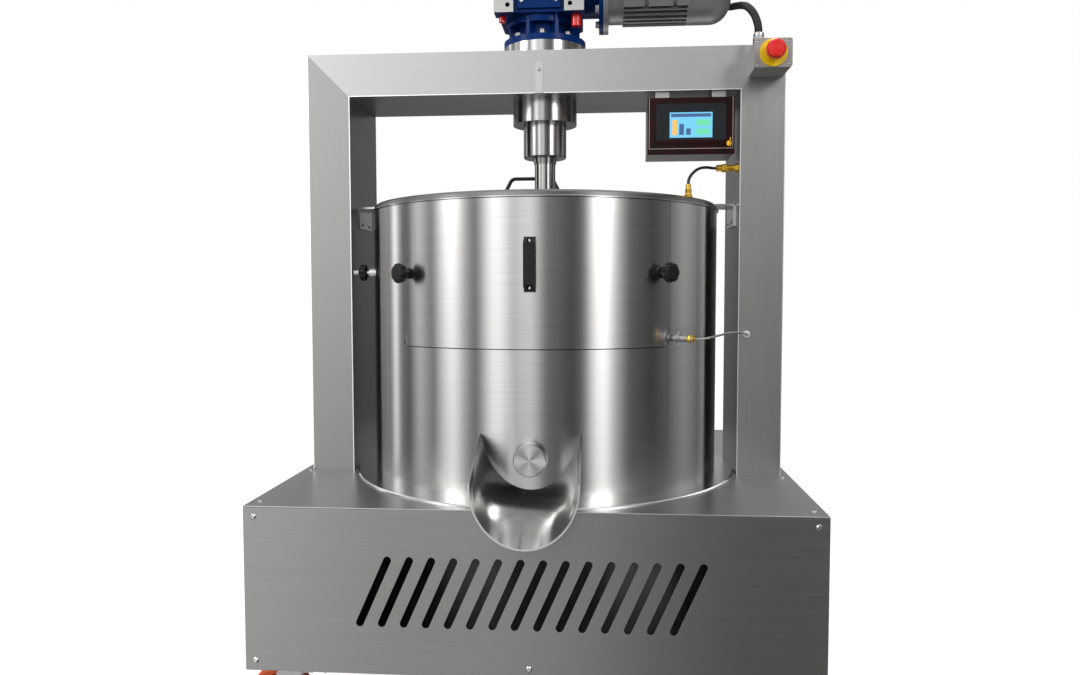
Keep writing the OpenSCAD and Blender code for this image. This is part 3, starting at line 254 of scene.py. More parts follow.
@dataclass(frozen=True)
class Finish:
    """A surface: its colour and gloss, and how they vary.

    The uneven places have a scale, a detail and a roughness (patch), and change a share of the colour and of
    the gloss (vary). The fine grain has a scale, a strength and a depth (relief).
    """

    name: str
    shade: Shade
    metallic: float = 0.0
    roughness: float = 0.5
    coat: float = 0.0
    specular: float = 0.5
    # dim darkens the dark seams and the painted shade that feed takes; bright lightens its painted highlights.
    dim: float = 0.5
    bright: float = 2.2
    patch: Point = (9.0, 3.0, 0.5)
    vary: Pair = (0.10, 0.05)
    relief: Point = (900.0, 0.05, 0.0004)

    def build(self) -> bpy.types.Material:
        """Builds the material.

        Returns:
            The material with its pattern worked in.
        """
        look = Look(self.name)
        look.paint({"Base Color": rgba(self.shade), "Metallic": self.metallic, "Roughness": self.roughness,
                    "Coat Weight": self.coat, "Coat Roughness": 0.12, "Specular IOR Level": self.specular})
        self.pattern(look)
        return look.material

    def pattern(self, look: Look) -> None:
        """Adds uneven places and a fine grain.

        Args:
            look: The material under work.
        """
        at = look.at()
        scale, strength, depth = self.relief
        self.feed(look, look.noise(at, *self.patch))
        look.bump(look.noise(at, scale, 2.0), strength, depth)

    def feed(self, look: Look, value: Sock, shadow: Optional[Sock] = None,
             painted_highlight: Optional[Sock] = None) -> None:
        """Lets a value from 0 to 1 vary the colour and the roughness.

        Args:
            look: The material under work.
            value: What varies.
            shadow: Where the colour is darker, from 0 to 1: dark seams, and painted shade.
            painted_highlight: Where a highlight is painted lighter, from 0 to 1.
        """
        colour, gloss = self.vary
        tone = look.mix(value, rgba(self.shade, 1.0 - colour), rgba(self.shade, 1.0 + colour))
        if shadow is not None:
            tone = look.mix(shadow, tone, rgba(self.shade, self.dim))
        if painted_highlight is not None:
            tone = look.mix(painted_highlight, tone, rgba(self.shade, self.bright))
        rough = value * (2.0 * gloss) + (self.roughness - gloss)
        look.paint({"Base Color": tone, "Roughness": rough})


@dataclass(frozen=True)
class Brushed(Finish):
    """Sheet steel brushed along one axis."""

    grain: Axis = Axis.X
    metallic: float = 1.0
    vary: Pair = (0.2, 0.05)
    fine: float = 2600.0
    scratch: Pair = (0.08, 0.0002)
    stretch: float = 0.0
    lean: float = 0.25

    def noises(self, look: Look, long: Sequence[Term], wide: Sequence[Term]) -> tuple[Sock, Sock]:
        """Returns fine scratches and broad bands, each from 0 to 1, at two places."""
        return (look.noise(look.combine(*long), self.fine, 2.0, 0.6),
                look.noise(look.combine(*wide), 300.0, 5.0, 0.7))

    def streaks(self, look: Look, place: Sequence[Sock], grain: Axis) -> tuple[Sock, Sock]:
        """Returns fine scratches and broad bands along a grain.

        Args:
            look: The material under work.
            place: The coordinates.
            grain: The direction of the scratches.

        Returns:
            A fine and a broad value, each from 0 to 1.
        """
        long, wide = ([s * (squeeze if Axis(i) is grain else 1.0) for i, s in enumerate(place)]
                      for squeeze in (0.004, 0.009))
        return self.noises(look, long, wide)

    def pattern(self, look: Look) -> None:
        """Adds the scratches of the brushing and faint broad bands."""
        self.finish_steel(look, *self.streaks(look, look.place(), self.grain))

    def finish_steel(self, look: Look, fine: Sock, broad: Sock, shadow: Optional[Sock] = None) -> None:
        """Feeds scratches and bands to the shader, whose highlights spread across the grain.

        Args:
            look: The material under work.
            fine: The scratches.
            broad: The bands.
            shadow: Where painted shade darkens the surface, from 0 to 1.
        """
        look.paint({"Anisotropic": self.stretch, "Anisotropic Rotation": self.lean})
        self.feed(look, fine * 0.4 + broad * 0.6, shadow)
        look.bump(fine, *self.scratch)


@dataclass(frozen=True)
class MitredSteel(Brushed):
    """Brushed steel of the portal: upright grain on the columns, level grain on the beam."""

    vary: Pair = (0.24, 0.09)
    scratch: Pair = (0.12, 0.0003)
    inner: float = 0.438
    crown: float = 1.432
    beam: float = 1.337
    seam: float = 0.0007
    # edge is the width of the painted highlight rim.
    edge: float = 0.0019
    # Painted shade: how much darker the columns are painted than the beam.
    column_dim: float = 0.18
    # Painted shade: how much darker the left column is painted.
    left_column_shade: float = 0.65
    beam_height: float = 0.09
    wall: float = 0.0006

    def pattern(self, look: Look) -> None:
        """Turns the grain at the mitre, darkens the seam, paints shade on the columns, on their inner faces and
        on the left column, and paints a highlight on the front edges.

        Args:
            look: The material under work.
        """
        x, y, z = place = look.place()
        upright = self.streaks(look, place, Axis.Z)
        level = self.streaks(look, place, Axis.X)
        half = (high("portal_frame") - low("portal_frame"))[0] / 2
        from_side = half - abs(x)
        from_top = self.crown - z
        from_inner = abs(abs(x) - self.inner)
        column = (from_side < from_top) * (abs(x) > self.inner - 0.001)
        fine, broad = (column * up + (1.0 - column) * flat for up, flat in zip(upright, level))
        # Painted shade: the columns are painted darker than the beam.
        shade = fine * 0.6 + broad * 0.4 - column * self.column_dim
        seam = (abs(from_side - from_top) < self.seam) * (from_top < half - self.inner)
        # Painted shade on the columns' inner faces below the beam.
        inner_face_shade = (from_inner < self.wall) * (z < self.crown - self.beam_height)
        # Painted shade on the left column, which is painted darker than the right.
        painted_left_shade = column * (x < 0.0) * self.left_column_shade
        near = look.math("MINIMUM", abs(from_side), from_inner)
        # Painted highlight: a lighter rim along the columns' side edges and the beam's lower edge, on the front
        # face.
        rim = column * (near < self.edge) + (1.0 - column) * (abs(z - self.beam) < self.edge)
        painted_edge_highlight = rim * (y < low("portal_frame")[1] + self.edge)
        self.feed(look, shade, look.math("MAXIMUM", seam * 0.8 + inner_face_shade, painted_left_shade), painted_edge_highlight)
        look.bump(fine, *self.scratch)


@dataclass(frozen=True)
class Turned(Brushed):
    """Steel brushed or turned round an axis through a point."""

    axis: Axis = Axis.Z
    centre: Point = (0.0, 0.0, 0.0)

    def polar(self, look: Look) -> tuple[Sock, Sock, Sock]:
        """Measures from the axis.

        Args:
            look: The material under work.

        Returns:
            The radius, the height along the axis, and the turn in radians.
        """
        place = [s - c for s, c in zip(look.place(), self.centre)]
        along = place.pop(self.axis.value)
        first, second = place
        return look.math("SQRT", first * first + second * second), along, look.math("ARCTAN2", first, second)

    def pattern(self, look: Look) -> None:
        """Adds rings round the axis.

        Args:
            look: The material under work.
        """
        radius, along, turn = self.polar(look)
        long, wide = ((radius, along, turn * squeeze) for squeeze in (0.0016, 0.0036))
        self.finish_steel(look, *self.noises(look, long, wide))


@dataclass(frozen=True)
class Faced(Turned):
    """A turned end face with fine rings, and the fans of light they throw painted into its colour as a painted
    sheen.
    """

    vary: Pair = (0.5, 0.06)
    scratch: Pair = (0.1, 0.0002)
    fans: float = 4.0

    def pattern(self, look: Look) -> None:
        """Adds the rings, and the painted sheen that stands for their fans of light.

        Args:
            look: The material under work.
        """
        radius, _, turn = self.polar(look)
        rings = look.noise(look.combine(radius, 0.0, 0.0), self.fine, 3.0, 0.6)
        # Painted sheen: lighter and darker wedges round the face stand for the reflection of the turned rings.
        painted_fan_sheen = look.math("COSINE", turn * self.fans) * 0.5 + 0.5
        painted_odd_sheen = look.math("COSINE", turn * 3.0 + 0.6) * 0.5 + 0.5
        self.feed(look, painted_fan_sheen * 0.6 + painted_odd_sheen * 0.2 + rings * 0.2)
        look.bump(rings, *self.scratch)


@dataclass(frozen=True)
class Trough(Brushed):
    """Polished sheet, with painted shade that darkens it from its mouth towards the drum."""

    vary: Pair = (0.2, 0.04)
    mouth: float = -0.5
    reach: float = 0.09

    def pattern(self, look: Look) -> None:
        """Adds the scratches, and painted shade on the upper end.

        Args:
            look: The material under work.
        """
        place = look.place()
        fine, broad = self.streaks(look, place, self.grain)
        # Painted shade, deeper from the mouth towards the drum.
        depth = look.math("SMOOTH_MIN", (place[1] - self.mouth) * (1.0 / self.reach), 1.0, 0.1)
        self.finish_steel(look, fine, broad, look.math("MAXIMUM", depth, 0.0))


@dataclass(frozen=True)
class Granite(Finish):
    """Honed granite with grey, white and black grains."""

    def pattern(self, look: Look) -> None:
        """Adds the grains.

        Args:
            look: The material under work.
        """
        at = look.at()
        cells = look.get("ShaderNodeTexVoronoi", "Color", {"feature": "F1"}, {"Vector": at, "Scale": 320.0})
        grey = look.get("ShaderNodeSeparateColor", 0, None, {0: cells})
        mica = look.noise(at, 420.0, 3.0, 0.6)
        level = look.ramp(grey * 0.75 + mica * 0.25, ((0.2, 0.05), (0.42, 0.3), (0.6, 0.42), (0.85, 0.8)))
        look.paint({"Base Color": level, "Roughness": grey * 0.25 + 0.35})
        look.bump(mica, 0.08, 0.0004)


@dataclass(frozen=True)
class Moulded(Finish):
    """Moulded plastic or rubber, with a little handling wear and the texture of its mould."""

    patch: Point = (35.0, 5.0, 0.6)
    vary: Pair = (0.16, 0.08)
    relief: Point = (1400.0, 0.18, 0.0003)


@dataclass(frozen=True)
class Painted(Finish):
    """Paint with a faint orange peel and dulled places."""

    patch: Point = (14.0, 5.0, 0.6)
    vary: Pair = (0.14, 0.10)
    relief: Point = (260.0, 0.10, 0.0006)


@dataclass(frozen=True)
class Machined(Painted):
    """Paint with bare machined faces on one plane."""

    face: float = -0.1
    depth: float = 0.0004
    bare: Shade = (0.5, 0.5, 0.49)

    def pattern(self, look: Look) -> None:
        """Adds the paint, and bare metal on the plane.

        Args:
            look: The material under work.
        """
        super().pattern(look)
        paint = Sock(look, look.shader.inputs["Base Color"].links[0].from_socket)
        x, y, z = look.place()
        metal = abs(y - self.face) < self.depth
        cuts = look.noise(look.combine(x * 0.05, y, z), 1500.0, 2.0)
        milled = look.mix(cuts, rgba(self.bare, 0.8), rgba(self.bare, 1.2))
        look.paint({"Base Color": look.mix(metal, paint, milled), "Metallic": metal,
                    "Coat Weight": (1.0 - metal) * self.coat})


@dataclass(frozen=True)
class Fascia(Finish):
    """Glossy front plate with a light edge line, a faint tint, and a bezel round the screen."""

    centre: Pair = (0.0, 0.0)
    half: Pair = (0.1, 0.1)
    bezel: Pair = (0.076, 0.040)
    corner: float = 0.006
    border: Pair = (0.0032, 0.0048)
    tint: Shade = (0.035, 0.002, 0.003)
    line: Shade = (0.34, 0.3, 0.27)
    grey: Shade = (0.014, 0.016, 0.02)

    def pattern(self, look: Look) -> None:
        """Adds the tint, the edge line and the bezel.

        Args:
            look: The material under work.
        """
        x, _, z = look.place()
        away = (abs(x - self.centre[0]), abs(z - self.centre[1]))
        cloud = look.noise(look.at(), 26.0, 4.0)
        past = look.math("MAXIMUM", *(a - h for a, h in zip(away, self.half)))
        edge, inner = (past > -width for width in self.border)
        out_x, out_z = (look.math("MAXIMUM", a - (b - self.corner), 0.0) for a, b in zip(away, self.bezel))
        bezel = (out_x * out_x + out_z * out_z) < self.corner * self.corner
        plate = look.mix(cloud * 1.6 - 0.3, rgba(self.shade), rgba(self.tint))
        lined = look.mix(inner - edge, plate, rgba(self.line))
        look.paint({"Base Color": look.mix(bezel, lined, rgba(self.grey)),
                    "Roughness": bezel * 0.2 + (self.roughness + cloud * 0.04)})


@dataclass(frozen=True)
class Lit(Finish):
    """A lit tile of the screen."""

    glow: float = 0.8
    pixels: float = 9000.0

    def pattern(self, look: Look) -> None:
        """Adds a faint pixel grid to the light.

        Args:
            look: The material under work.
        """
        x, _, z = look.place()
        grid = look.math("SINE", x * self.pixels) * look.math("SINE", z * self.pixels)
        colour = look.mix(grid * 0.5 + 0.5, rgba(self.shade, 0.88), rgba(self.shade))
        look.paint({"Emission Color": colour, "Emission Strength": self.glow})


STEEL: Shade = (0.47, 0.465, 0.455)
SOFT_GRAIN: Point = (1400.0, 0.1, 0.0003)


class Paints:
    """The shop's finishes, each built once."""

    FINISHES: tuple[Finish, ...] = (
        # The stainless finishes stand for one steel; their shades differ between parts as painted light and
        # shade: the plinth ring and the chute are painted lighter, the lid, the front panel and the turned
        # parts darker.
        Brushed("sheet_x", STEEL, roughness=0.34, grain=Axis.X),
        Brushed("panel_x", (0.31, 0.307, 0.3), roughness=0.36, grain=Axis.X, stretch=0.85),
        Brushed("lid_steel", (0.245, 0.243, 0.238), roughness=0.3, grain=Axis.X),
        Brushed("sheet_y", STEEL, roughness=0.34, grain=Axis.Y),
        MitredSteel("portal_steel", (0.49, 0.486, 0.477), roughness=0.34),
        Turned("drum_steel", (0.54, 0.535, 0.524), roughness=0.22, stretch=0.9),
        Turned("spacer_steel", (0.5, 0.495, 0.485), roughness=0.24, fine=1400.0, stretch=0.7),
        Turned("ring_steel", (0.9, 0.893, 0.88), roughness=0.2, stretch=0.8),
        Turned("turned_z", (0.38, 0.376, 0.37), roughness=0.2, fine=1400.0, stretch=0.7),
        Brushed("strap_steel", (0.54, 0.535, 0.526), roughness=0.3, grain=Axis.Z),
        Faced("plug_steel", (0.53, 0.525, 0.515), roughness=0.26, axis=Axis.Y, centre=(0.0, 0.0, 0.573),
              fine=900.0),
        Trough("chute_steel", (0.7, 0.694, 0.68), roughness=0.15, fine=500.0, grain=Axis.Y, dim=0.22),
        Finish("zinc", (0.5, 0.5, 0.5), metallic=1.0, roughness=0.33),
        Finish("bright_steel", (0.62, 0.62, 0.61), metallic=1.0, roughness=0.2),
        Granite("granite", (0.35, 0.35, 0.35), roughness=0.5),
        Machined("blue_paint", (0.0005, 0.026, 0.15), roughness=0.34, coat=0.03, specular=0.08),
        Painted("motor_paint", (0.3, 0.305, 0.31), metallic=0.55, roughness=0.38),
        Moulded("black_plastic", (0.007, 0.007, 0.007), roughness=0.4, specular=0.3),
        Painted("black_paint", (0.012, 0.012, 0.012), roughness=0.36, specular=0.4),
        Finish("red_plastic", (0.8, 0.012, 0.01), roughness=0.24, coat=0.3),
        Moulded("grey_plastic", (0.33, 0.325, 0.31), roughness=0.45),
        Moulded("white_plastic", (0.8, 0.8, 0.78), roughness=0.4),
        Moulded("yellow_plastic", (0.92, 0.62, 0.0), roughness=0.35),
        Fascia("panel_gloss", (0.006, 0.006, 0.007), roughness=0.12, specular=0.22,
               centre=(middle("panel_screen")[0], middle("panel_box")[2]),
               half=tuple((high("panel_screen") - low("panel_screen"))[i] / 2 for i in (0, 2))),
        Finish("brass", (0.9, 0.55, 0.07), metallic=1.0, roughness=0.25),
        Finish("conduit_steel", (0.05, 0.05, 0.05), metallic=0.6, roughness=0.35),
        Moulded("hose_black", (0.02, 0.02, 0.02), roughness=0.35, relief=SOFT_GRAIN),
        Finish("braid", (0.4, 0.39, 0.37), metallic=0.9, roughness=0.35),
        Moulded("polyurethane", (0.68, 0.09, 0.012), roughness=0.36, relief=SOFT_GRAIN),
        Lit("screen_sky", (0.12, 0.42, 0.62)),
        Lit("screen_ink", (0.03, 0.08, 0.2)),
        Lit("screen_mint", (0.1, 0.5, 0.28)),
        Lit("screen_amber", (0.75, 0.38, 0.06)),
    )

    def __init__(self) -> None:
        """Builds every finish."""
        self.ready = {f.name: f.build() for f in self.FINISHES}

    def __getitem__(self, name: str) -> bpy.types.Material:
        """Returns a finish's material."""
        return self.ready[name]


NODES_BY_FINISH: dict[str, str] = {
    "zinc": "base_frame probe_wing_nut swivel_plates castor_fork_front castor_fork_rear brake_pedal_front "
            "brake_pedal_rear fixed_castors",
    "sheet_y": "base_shell",
    "panel_x": "base_front_panel",
    "sheet_x": "base_top_plate roller_carrier panel_box",
    "bright_steel": "panel_screws lid_hinge_pin drum_brackets clamp_spindle probe_body",
    "ring_steel": "plinth_ring",
    "portal_steel": "portal_frame",
    "strap_steel": "beam_strap",
    "drum_steel": "drum_shell drum_bowl front_hatch",
    "granite": "granite_bed roller_left roller_right",
    "lid_steel": "lid_front lid_rear",
    "black_paint": "lid_handle",
    "black_plastic": "hatch_handle hatch_knob_left hatch_knob_right clamp_knob motor_fan",
    "chute_steel": "chute",
    "plug_steel": "discharge_port discharge_plug",
    "braid": "probe_lead",
    "white_plastic": "lead_grommet",
    "brass": "hose_bulkhead lid_fitting key_switch",
    "hose_black": "lid_hose",
    "blue_paint": "gearbox",
    "red_plastic": "gearbox_plugs stop_button",
    "spacer_steel": "gearbox_spacer",
    "turned_z": "bearing_housing drive_shaft",
    "motor_paint": "motor_body fan_cowl terminal_box",
    "conduit_steel": "motor_conduit",
    "grey_plastic": "stop_box",
    "panel_gloss": "panel_screen",
    "polyurethane": "castor_wheel_front_left castor_wheel_rear_left castor_wheel_front_right "
                    "castor_wheel_rear_right",
}
NODE_FINISH = {node: finish for finish, nodes in NODES_BY_FINISH.items() for node in nodes.split()}


@dataclass
class Studio:
    """Camera, floor, world and lamps."""

    camera_at: Point = (0.1428, -1.9881, 0.8948)
    turn: Point = (math.pi / 2 - 0.05515, 0.0013, 0.0779)
    lens: float = 27.73
    floor_half: float = 30.0
    floor_grey: float = 0.2
    floor_glow: float = 0.9
    overhead_glow: float = 0.8
    lamps: tuple[tuple[Point, Point, float, float], ...] = (
        ((-2.9, -1.9, 2.8), (0.0, 0.0, 0.9), 1.0, 34.0),
        ((2.2, -2.6, 2.6), (0.0, 0.0, 0.8), 0.9, 26.0),
        ((0.0, 1.6, 3.4), (0.0, 0.0, 0.9), 2.0, 40.0),
    )
    bands: tuple[Pair, ...] = (
        (0.0, 0.4), (0.16, 0.4), (0.18, 0.7), (0.195, 3.2), (0.21, 0.5), (0.24, 0.2), (0.267, 1.6),
        (0.3, 0.33), (0.325, 2.2), (0.343, 3.0), (0.365, 1.0), (0.39, 0.2), (0.42, 3.2), (0.435, 2.9),
        (0.455, 1.3), (0.47, 1.8), (0.488, 2.0), (0.512, 0.4), (0.535, 0.3), (0.56, 0.12), (0.58, 0.25),
        (0.6, 2.8), (0.615, 3.8), (0.635, 1.4), (0.66, 0.3), (0.71, 0.12), (0.75, 0.3), (0.79, 0.8),
        (0.83, 0.5), (0.88, 0.05), (1.0, 0.5))
    heights: tuple[Pair, ...] = ((0.0, 0.25), (0.4, 0.4), (0.47, 0.52), (0.52, 0.68), (0.6, 0.8))

    def build(self) -> None:
        """Builds the camera, the lights and the floor."""
        self._camera()
        self._world()
        for index, lamp in enumerate(self.lamps):
            self._lamp(index, *lamp)
        self._floor()
        bpy.context.scene.view_settings.view_transform = "Standard"

    def _camera(self) -> None:
        """Puts the camera where the photograph was taken."""
        data = bpy.data.cameras.new("camera")
        data.lens = self.lens
        data.sensor_width = 36.0
        camera = link(bpy.data.objects.new("camera", data))
        camera.location = self.camera_at
        camera.rotation_euler = self.turn
        bpy.context.scene.camera = camera

    def _world(self) -> None:
        """Gives white to the camera, and soft grey bands to everything else."""
        world = bpy.data.worlds.new("studio")
        world.use_nodes = True
        bpy.context.scene.world = world
        graph = Graph(world.node_tree)
        way = graph.get("ShaderNodeTexCoord", "Generated")
        x, y, z = graph.outs(graph.node("ShaderNodeSeparateXYZ", None, {0: way}), 3)
        side = graph.math("ARCTAN2", x, 0.0 - y) / (2.0 * math.pi) + 0.5
        sides = graph.ramp(side, self.bands) * graph.ramp(z * 0.5 + 0.5, self.heights)
        overhead = graph.ramp(z, ((0.45, 0.0), (0.75, 1.0)))
        soft = sides * (1.0 - overhead) + overhead * self.overhead_glow
        seen = graph.get("ShaderNodeLightPath", "Is Camera Ray")
        graph.fill(world.node_tree.nodes["Background"], {"Color": (1.0, 1.0, 1.0, 1.0),
                                                         "Strength": seen + (1.0 - seen) * soft})

    @staticmethod
    def _lamp(index: int, at: Point, target: Point, size: float, power: float) -> None:
        """Adds one soft lamp that looks at a target.

        Args:
            index: The lamp's number.
            at: Where it hangs, in metres.
            target: What it looks at.
            size: The side of its square, in metres.
            power: Its power, in watts.
        """
        data = bpy.data.lights.new(f"softbox_{index}", "AREA")
        data.shape = "SQUARE"
        data.size = size
        data.energy = power
        lamp = link(bpy.data.objects.new(data.name, data))
        lamp.location = at
        lamp.rotation_euler = (Vector(target) - Vector(at)).to_track_quat("-Z", "Y").to_euler()

    def _floor(self) -> None:
        """Adds the pale floor, white to the camera but for the shadow."""
        half = self.floor_half
        shell = Shell("floor")
        shell.quad([(-half, -half, 0.0), (half, -half, 0.0), (half, half, 0.0), (-half, half, 0.0)])
        material = bpy.data.materials.new("floor")
        material.use_nodes = True
        graph = Graph(material.node_tree)
        material.node_tree.nodes.clear()
        rays = graph.node("ShaderNodeLightPath")
        seen, glossy = (Sock(graph, rays.outputs[f"Is {kind} Ray"]) for kind in ("Camera", "Glossy"))
        matt = graph.get("ShaderNodeBsdfDiffuse", 0, None, {"Color": (self.floor_grey,) * 3 + (1.0,)})
        glow = graph.get("ShaderNodeEmission", 0, None,
                         {"Color": (1.0, 1.0, 1.0, 1.0), "Strength": seen * self.floor_glow})
        both = graph.get("ShaderNodeAddShader", 0, None, {0: matt, 1: glow})
        clear = graph.get("ShaderNodeBsdfTransparent", 0)
        look = graph.get("ShaderNodeMixShader", 0, None, {0: glossy, 1: both, 2: clear})
        graph.node("ShaderNodeOutputMaterial", None, {"Surface": look})
        floor = shell.finish(material)


class Shell:
    """A mesh under construction, in metres and in the part's frame."""

    def __init__(self, name: str) -> None:
        """Starts an empty mesh."""
        self.name = name
        self.mesh = bmesh.new()

    def quad(self, corners: Sequence[Sequence[float]]) -> None:
        """Adds a face through corners."""
        self.mesh.faces.new([self.mesh.verts.new(c) for c in corners])

    def loft(self, rings: Sequence[Sequence[Vector]], close: bool = False, caps: bool = True) -> None:
        """Adds a skin through rings of equal length.

        Args:
            rings: The rings, each a closed loop of points.
            close: Whether the last ring joins the first.
            caps: Whether the ends are filled.
        """
        grid = [[self.mesh.verts.new(p) for p in ring] for ring in rings]
        pairs = list(zip(grid, grid[1:])) + ([(grid[-1], grid[0])] if close else [])
        count = len(grid[0])
        for lower, upper in pairs:
            for i in range(count):
                j = (i + 1) % count
                self.mesh.faces.new((lower[i], lower[j], upper[j], upper[i]))
        if caps and not close:
            self.mesh.faces.new(list(reversed(grid[0])))
            self.mesh.faces.new(grid[-1])

    def lathe(self, profile: Sequence[tuple[float, float]], turn: Matrix, sides: int = 48) -> None:
        """Adds a solid of revolution round the Z axis of a placing matrix.

        Args:
            profile: Radius and height pairs in metres, from the axis out and back to it, or closed.
            turn: The placing matrix.
            sides: The number of sides.
        """
        rings = []
        for step in range(sides):
            a = 2.0 * math.pi * step / sides
            rings.append([turn @ Vector((r * math.cos(a), r * math.sin(a), h)) for r, h in profile])
        self.loft(rings, close=True)

    def block(self, corner: Vector, opposite: Vector) -> None:
        """Adds a box between two corners.

        Args:
            corner: Its lowest corner, in metres.
            opposite: Its highest corner.
        """
        centre = (corner + opposite) / 2
        size = opposite - corner
        made = bmesh.ops.create_cube(self.mesh, size=1.0)
        bmesh.ops.scale(self.mesh, vec=size, verts=made["verts"])
        bmesh.ops.translate(self.mesh, vec=centre, verts=made["verts"])

    def finish(self, material: bpy.types.Material, smooth: float = 35.0) -> bpy.types.Object:
        """Closes the mesh and returns its object.

        Args:
            material: The finish.
            smooth: The angle in degrees under which faces shade smoothly.

        Returns:
            The object, at the origin.
        """
        bmesh.ops.remove_doubles(self.mesh, verts=self.mesh.verts, dist=1e-6)
        bmesh.ops.dissolve_degenerate(self.mesh, edges=self.mesh.edges, dist=1e-6)
        bmesh.ops.recalc_face_normals(self.mesh, faces=self.mesh.faces)
        return make_object(self.name, self.mesh, material, smooth)


def round_edges(mesh: bmesh.types.BMesh, width: float, angle: float = 40.0, steps: int = 2) -> None:
    """Rounds the sharp edges of a mesh.

    Args:
        mesh: The mesh.
        width: The width of the rounding, in metres.
        angle: The least angle between two faces that counts as sharp, in degrees.
        steps: The number of faces across the rounding.
    """
    sharp = [e for e in mesh.edges if len(e.link_faces) == 2 and e.calc_face_angle(0.0) > math.radians(angle)]
    bmesh.ops.bevel(mesh, geom=sharp, offset=width, segments=steps, profile=0.5, affect="EDGES",
                    clamp_overlap=True)


def link(made: bpy.types.Object) -> bpy.types.Object:
    """Puts an object in the scene and returns it."""
    bpy.context.scene.collection.objects.link(made)
    return made


def make_object(name: str, mesh: bmesh.types.BMesh, material: bpy.types.Material,
                smooth: float = 35.0) -> bpy.types.Object:
    """Turns a bmesh into an object with smooth shading below an angle.

    Args:
        name: The object's name.
        mesh: The mesh, which is freed.
        material: The finish.
        smooth: The angle in degrees above which an edge stays sharp.

    Returns:
        The object.
    """
    limit = math.radians(smooth)
    for face in mesh.faces:
        face.smooth = True
    for edge in mesh.edges:
        edge.smooth = not (len(edge.link_faces) == 2 and edge.calc_face_angle(0.0) > limit)
    data = bpy.data.meshes.new(name)
    mesh.to_mesh(data)
    mesh.free()
    data.materials.append(material)
    return link(bpy.data.objects.new(name, data))


def aim(at: Sequence[float], way: Sequence[float]) -> Matrix:
    """Returns a placing matrix at a point, with its Z axis along a direction."""
    turn = Vector(way).to_track_quat("Z", "Y").to_matrix().to_4x4()
    return Matrix.Translation(Vector(at)) @ turn


def report(piece: bpy.types.Object, body: str) -> bpy.types.Object:
    """Rides a piece on a body, and logs it.

    Args:
        piece: The finished piece.
        body: The body that carries it.

    Returns:
        The piece.
    """
    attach(piece, body)
    log.info("%s rides on %s, %d faces", piece.name, body, len(piece.data.polygons))
    return piece


def softened(node: str, material: bpy.types.Material, width: float, body: str,
             smooth: float = 12.0) -> bpy.types.Object:
    """Makes a copy of a CAD node with rounded edges, which stands for it.

    Args:
        node: The CAD node.
        material: The finish.
        width: The rounding, in metres.
        body: The body that carries it.
        smooth: The angle in degrees above which an edge stays sharp.

    Returns:
        The new piece.
    """
    mesh = bmesh.new()
    mesh.from_mesh(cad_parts[node].data)
    bmesh.ops.remove_doubles(mesh, verts=mesh.verts, dist=1e-6)
    bmesh.ops.dissolve_limit(mesh, angle_limit=math.radians(0.5), verts=mesh.verts, edges=mesh.edges)
    round_edges(mesh, width)
    piece = make_object(f"{node}_sheet", mesh, material, smooth)
    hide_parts(node)
    return report(piece, body)


class Layout(Enum):
    """How a repeated piece is laid out."""

    RING = "ring"
    GRID = "grid"


def start_tree(name: str, inputs: Sequence[tuple[str, str]]) -> tuple[Graph, list[Sock]]:
    """Starts a Geometry Nodes tree with named inputs and one resulting shape.

    Args:
        name: The tree's name.
        inputs: The name and kind of each input.

    Returns:
        The tree's graph and the sockets of its inputs.
    """
    tree = bpy.data.node_groups.new(name, "GeometryNodeTree")
    for label, kind in inputs:
        tree.interface.new_socket(label, in_out="INPUT", socket_type=f"NodeSocket{kind}")
    tree.interface.new_socket("Result", in_out="OUTPUT", socket_type="NodeSocketGeometry")
    graph = Graph(tree)
    return graph, graph.outs(graph.node("NodeGroupInput"), len(inputs))


def end_tree(graph: Graph, shape: Sock, material: bpy.types.Material) -> bpy.types.NodeTree:
    """Ends a Geometry Nodes tree: its copies become real and take their finish.

    Args:
        graph: The tree's graph.
        shape: What the tree has made.
        material: The finish.

    Returns:
        The tree.
    """
    solid = graph.get("GeometryNodeRealizeInstances", 0, None, {0: shape})
    painted = graph.get("GeometryNodeSetMaterial", 0, None, {"Geometry": solid, "Material": material})
    graph.node("NodeGroupOutput", None, {0: painted})
    return graph.tree


def run_tree(piece: bpy.types.Object, tree: bpy.types.NodeTree, values: Sequence[float], name: str,
             place: Matrix) -> bpy.types.Object:
    """Runs a tree on an object and turns the result into a plain mesh in its place.

    Args:
        piece: The object, which is used up.
        tree: The Geometry Nodes tree.
        values: The values of its inputs after the first.
        name: The name of the result.
        place: The placing matrix.

    Returns:
        The plain object, at the origin.
    """
    modifier = piece.modifiers.new("shape", "NODES")
    modifier.node_group = tree
    inputs = [i for i in tree.interface.items_tree if i.in_out == "INPUT"][1:]
    for item, value in zip(inputs, values):
        modifier[item.identifier] = value
    graph = bpy.context.evaluated_depsgraph_get()
    data = bpy.data.meshes.new_from_object(piece.evaluated_get(graph), depsgraph=graph)
    piece.modifiers.clear()
    bpy.data.objects.remove(piece)
    data.name = name
    data.transform(place)
    return link(bpy.data.objects.new(name, data))


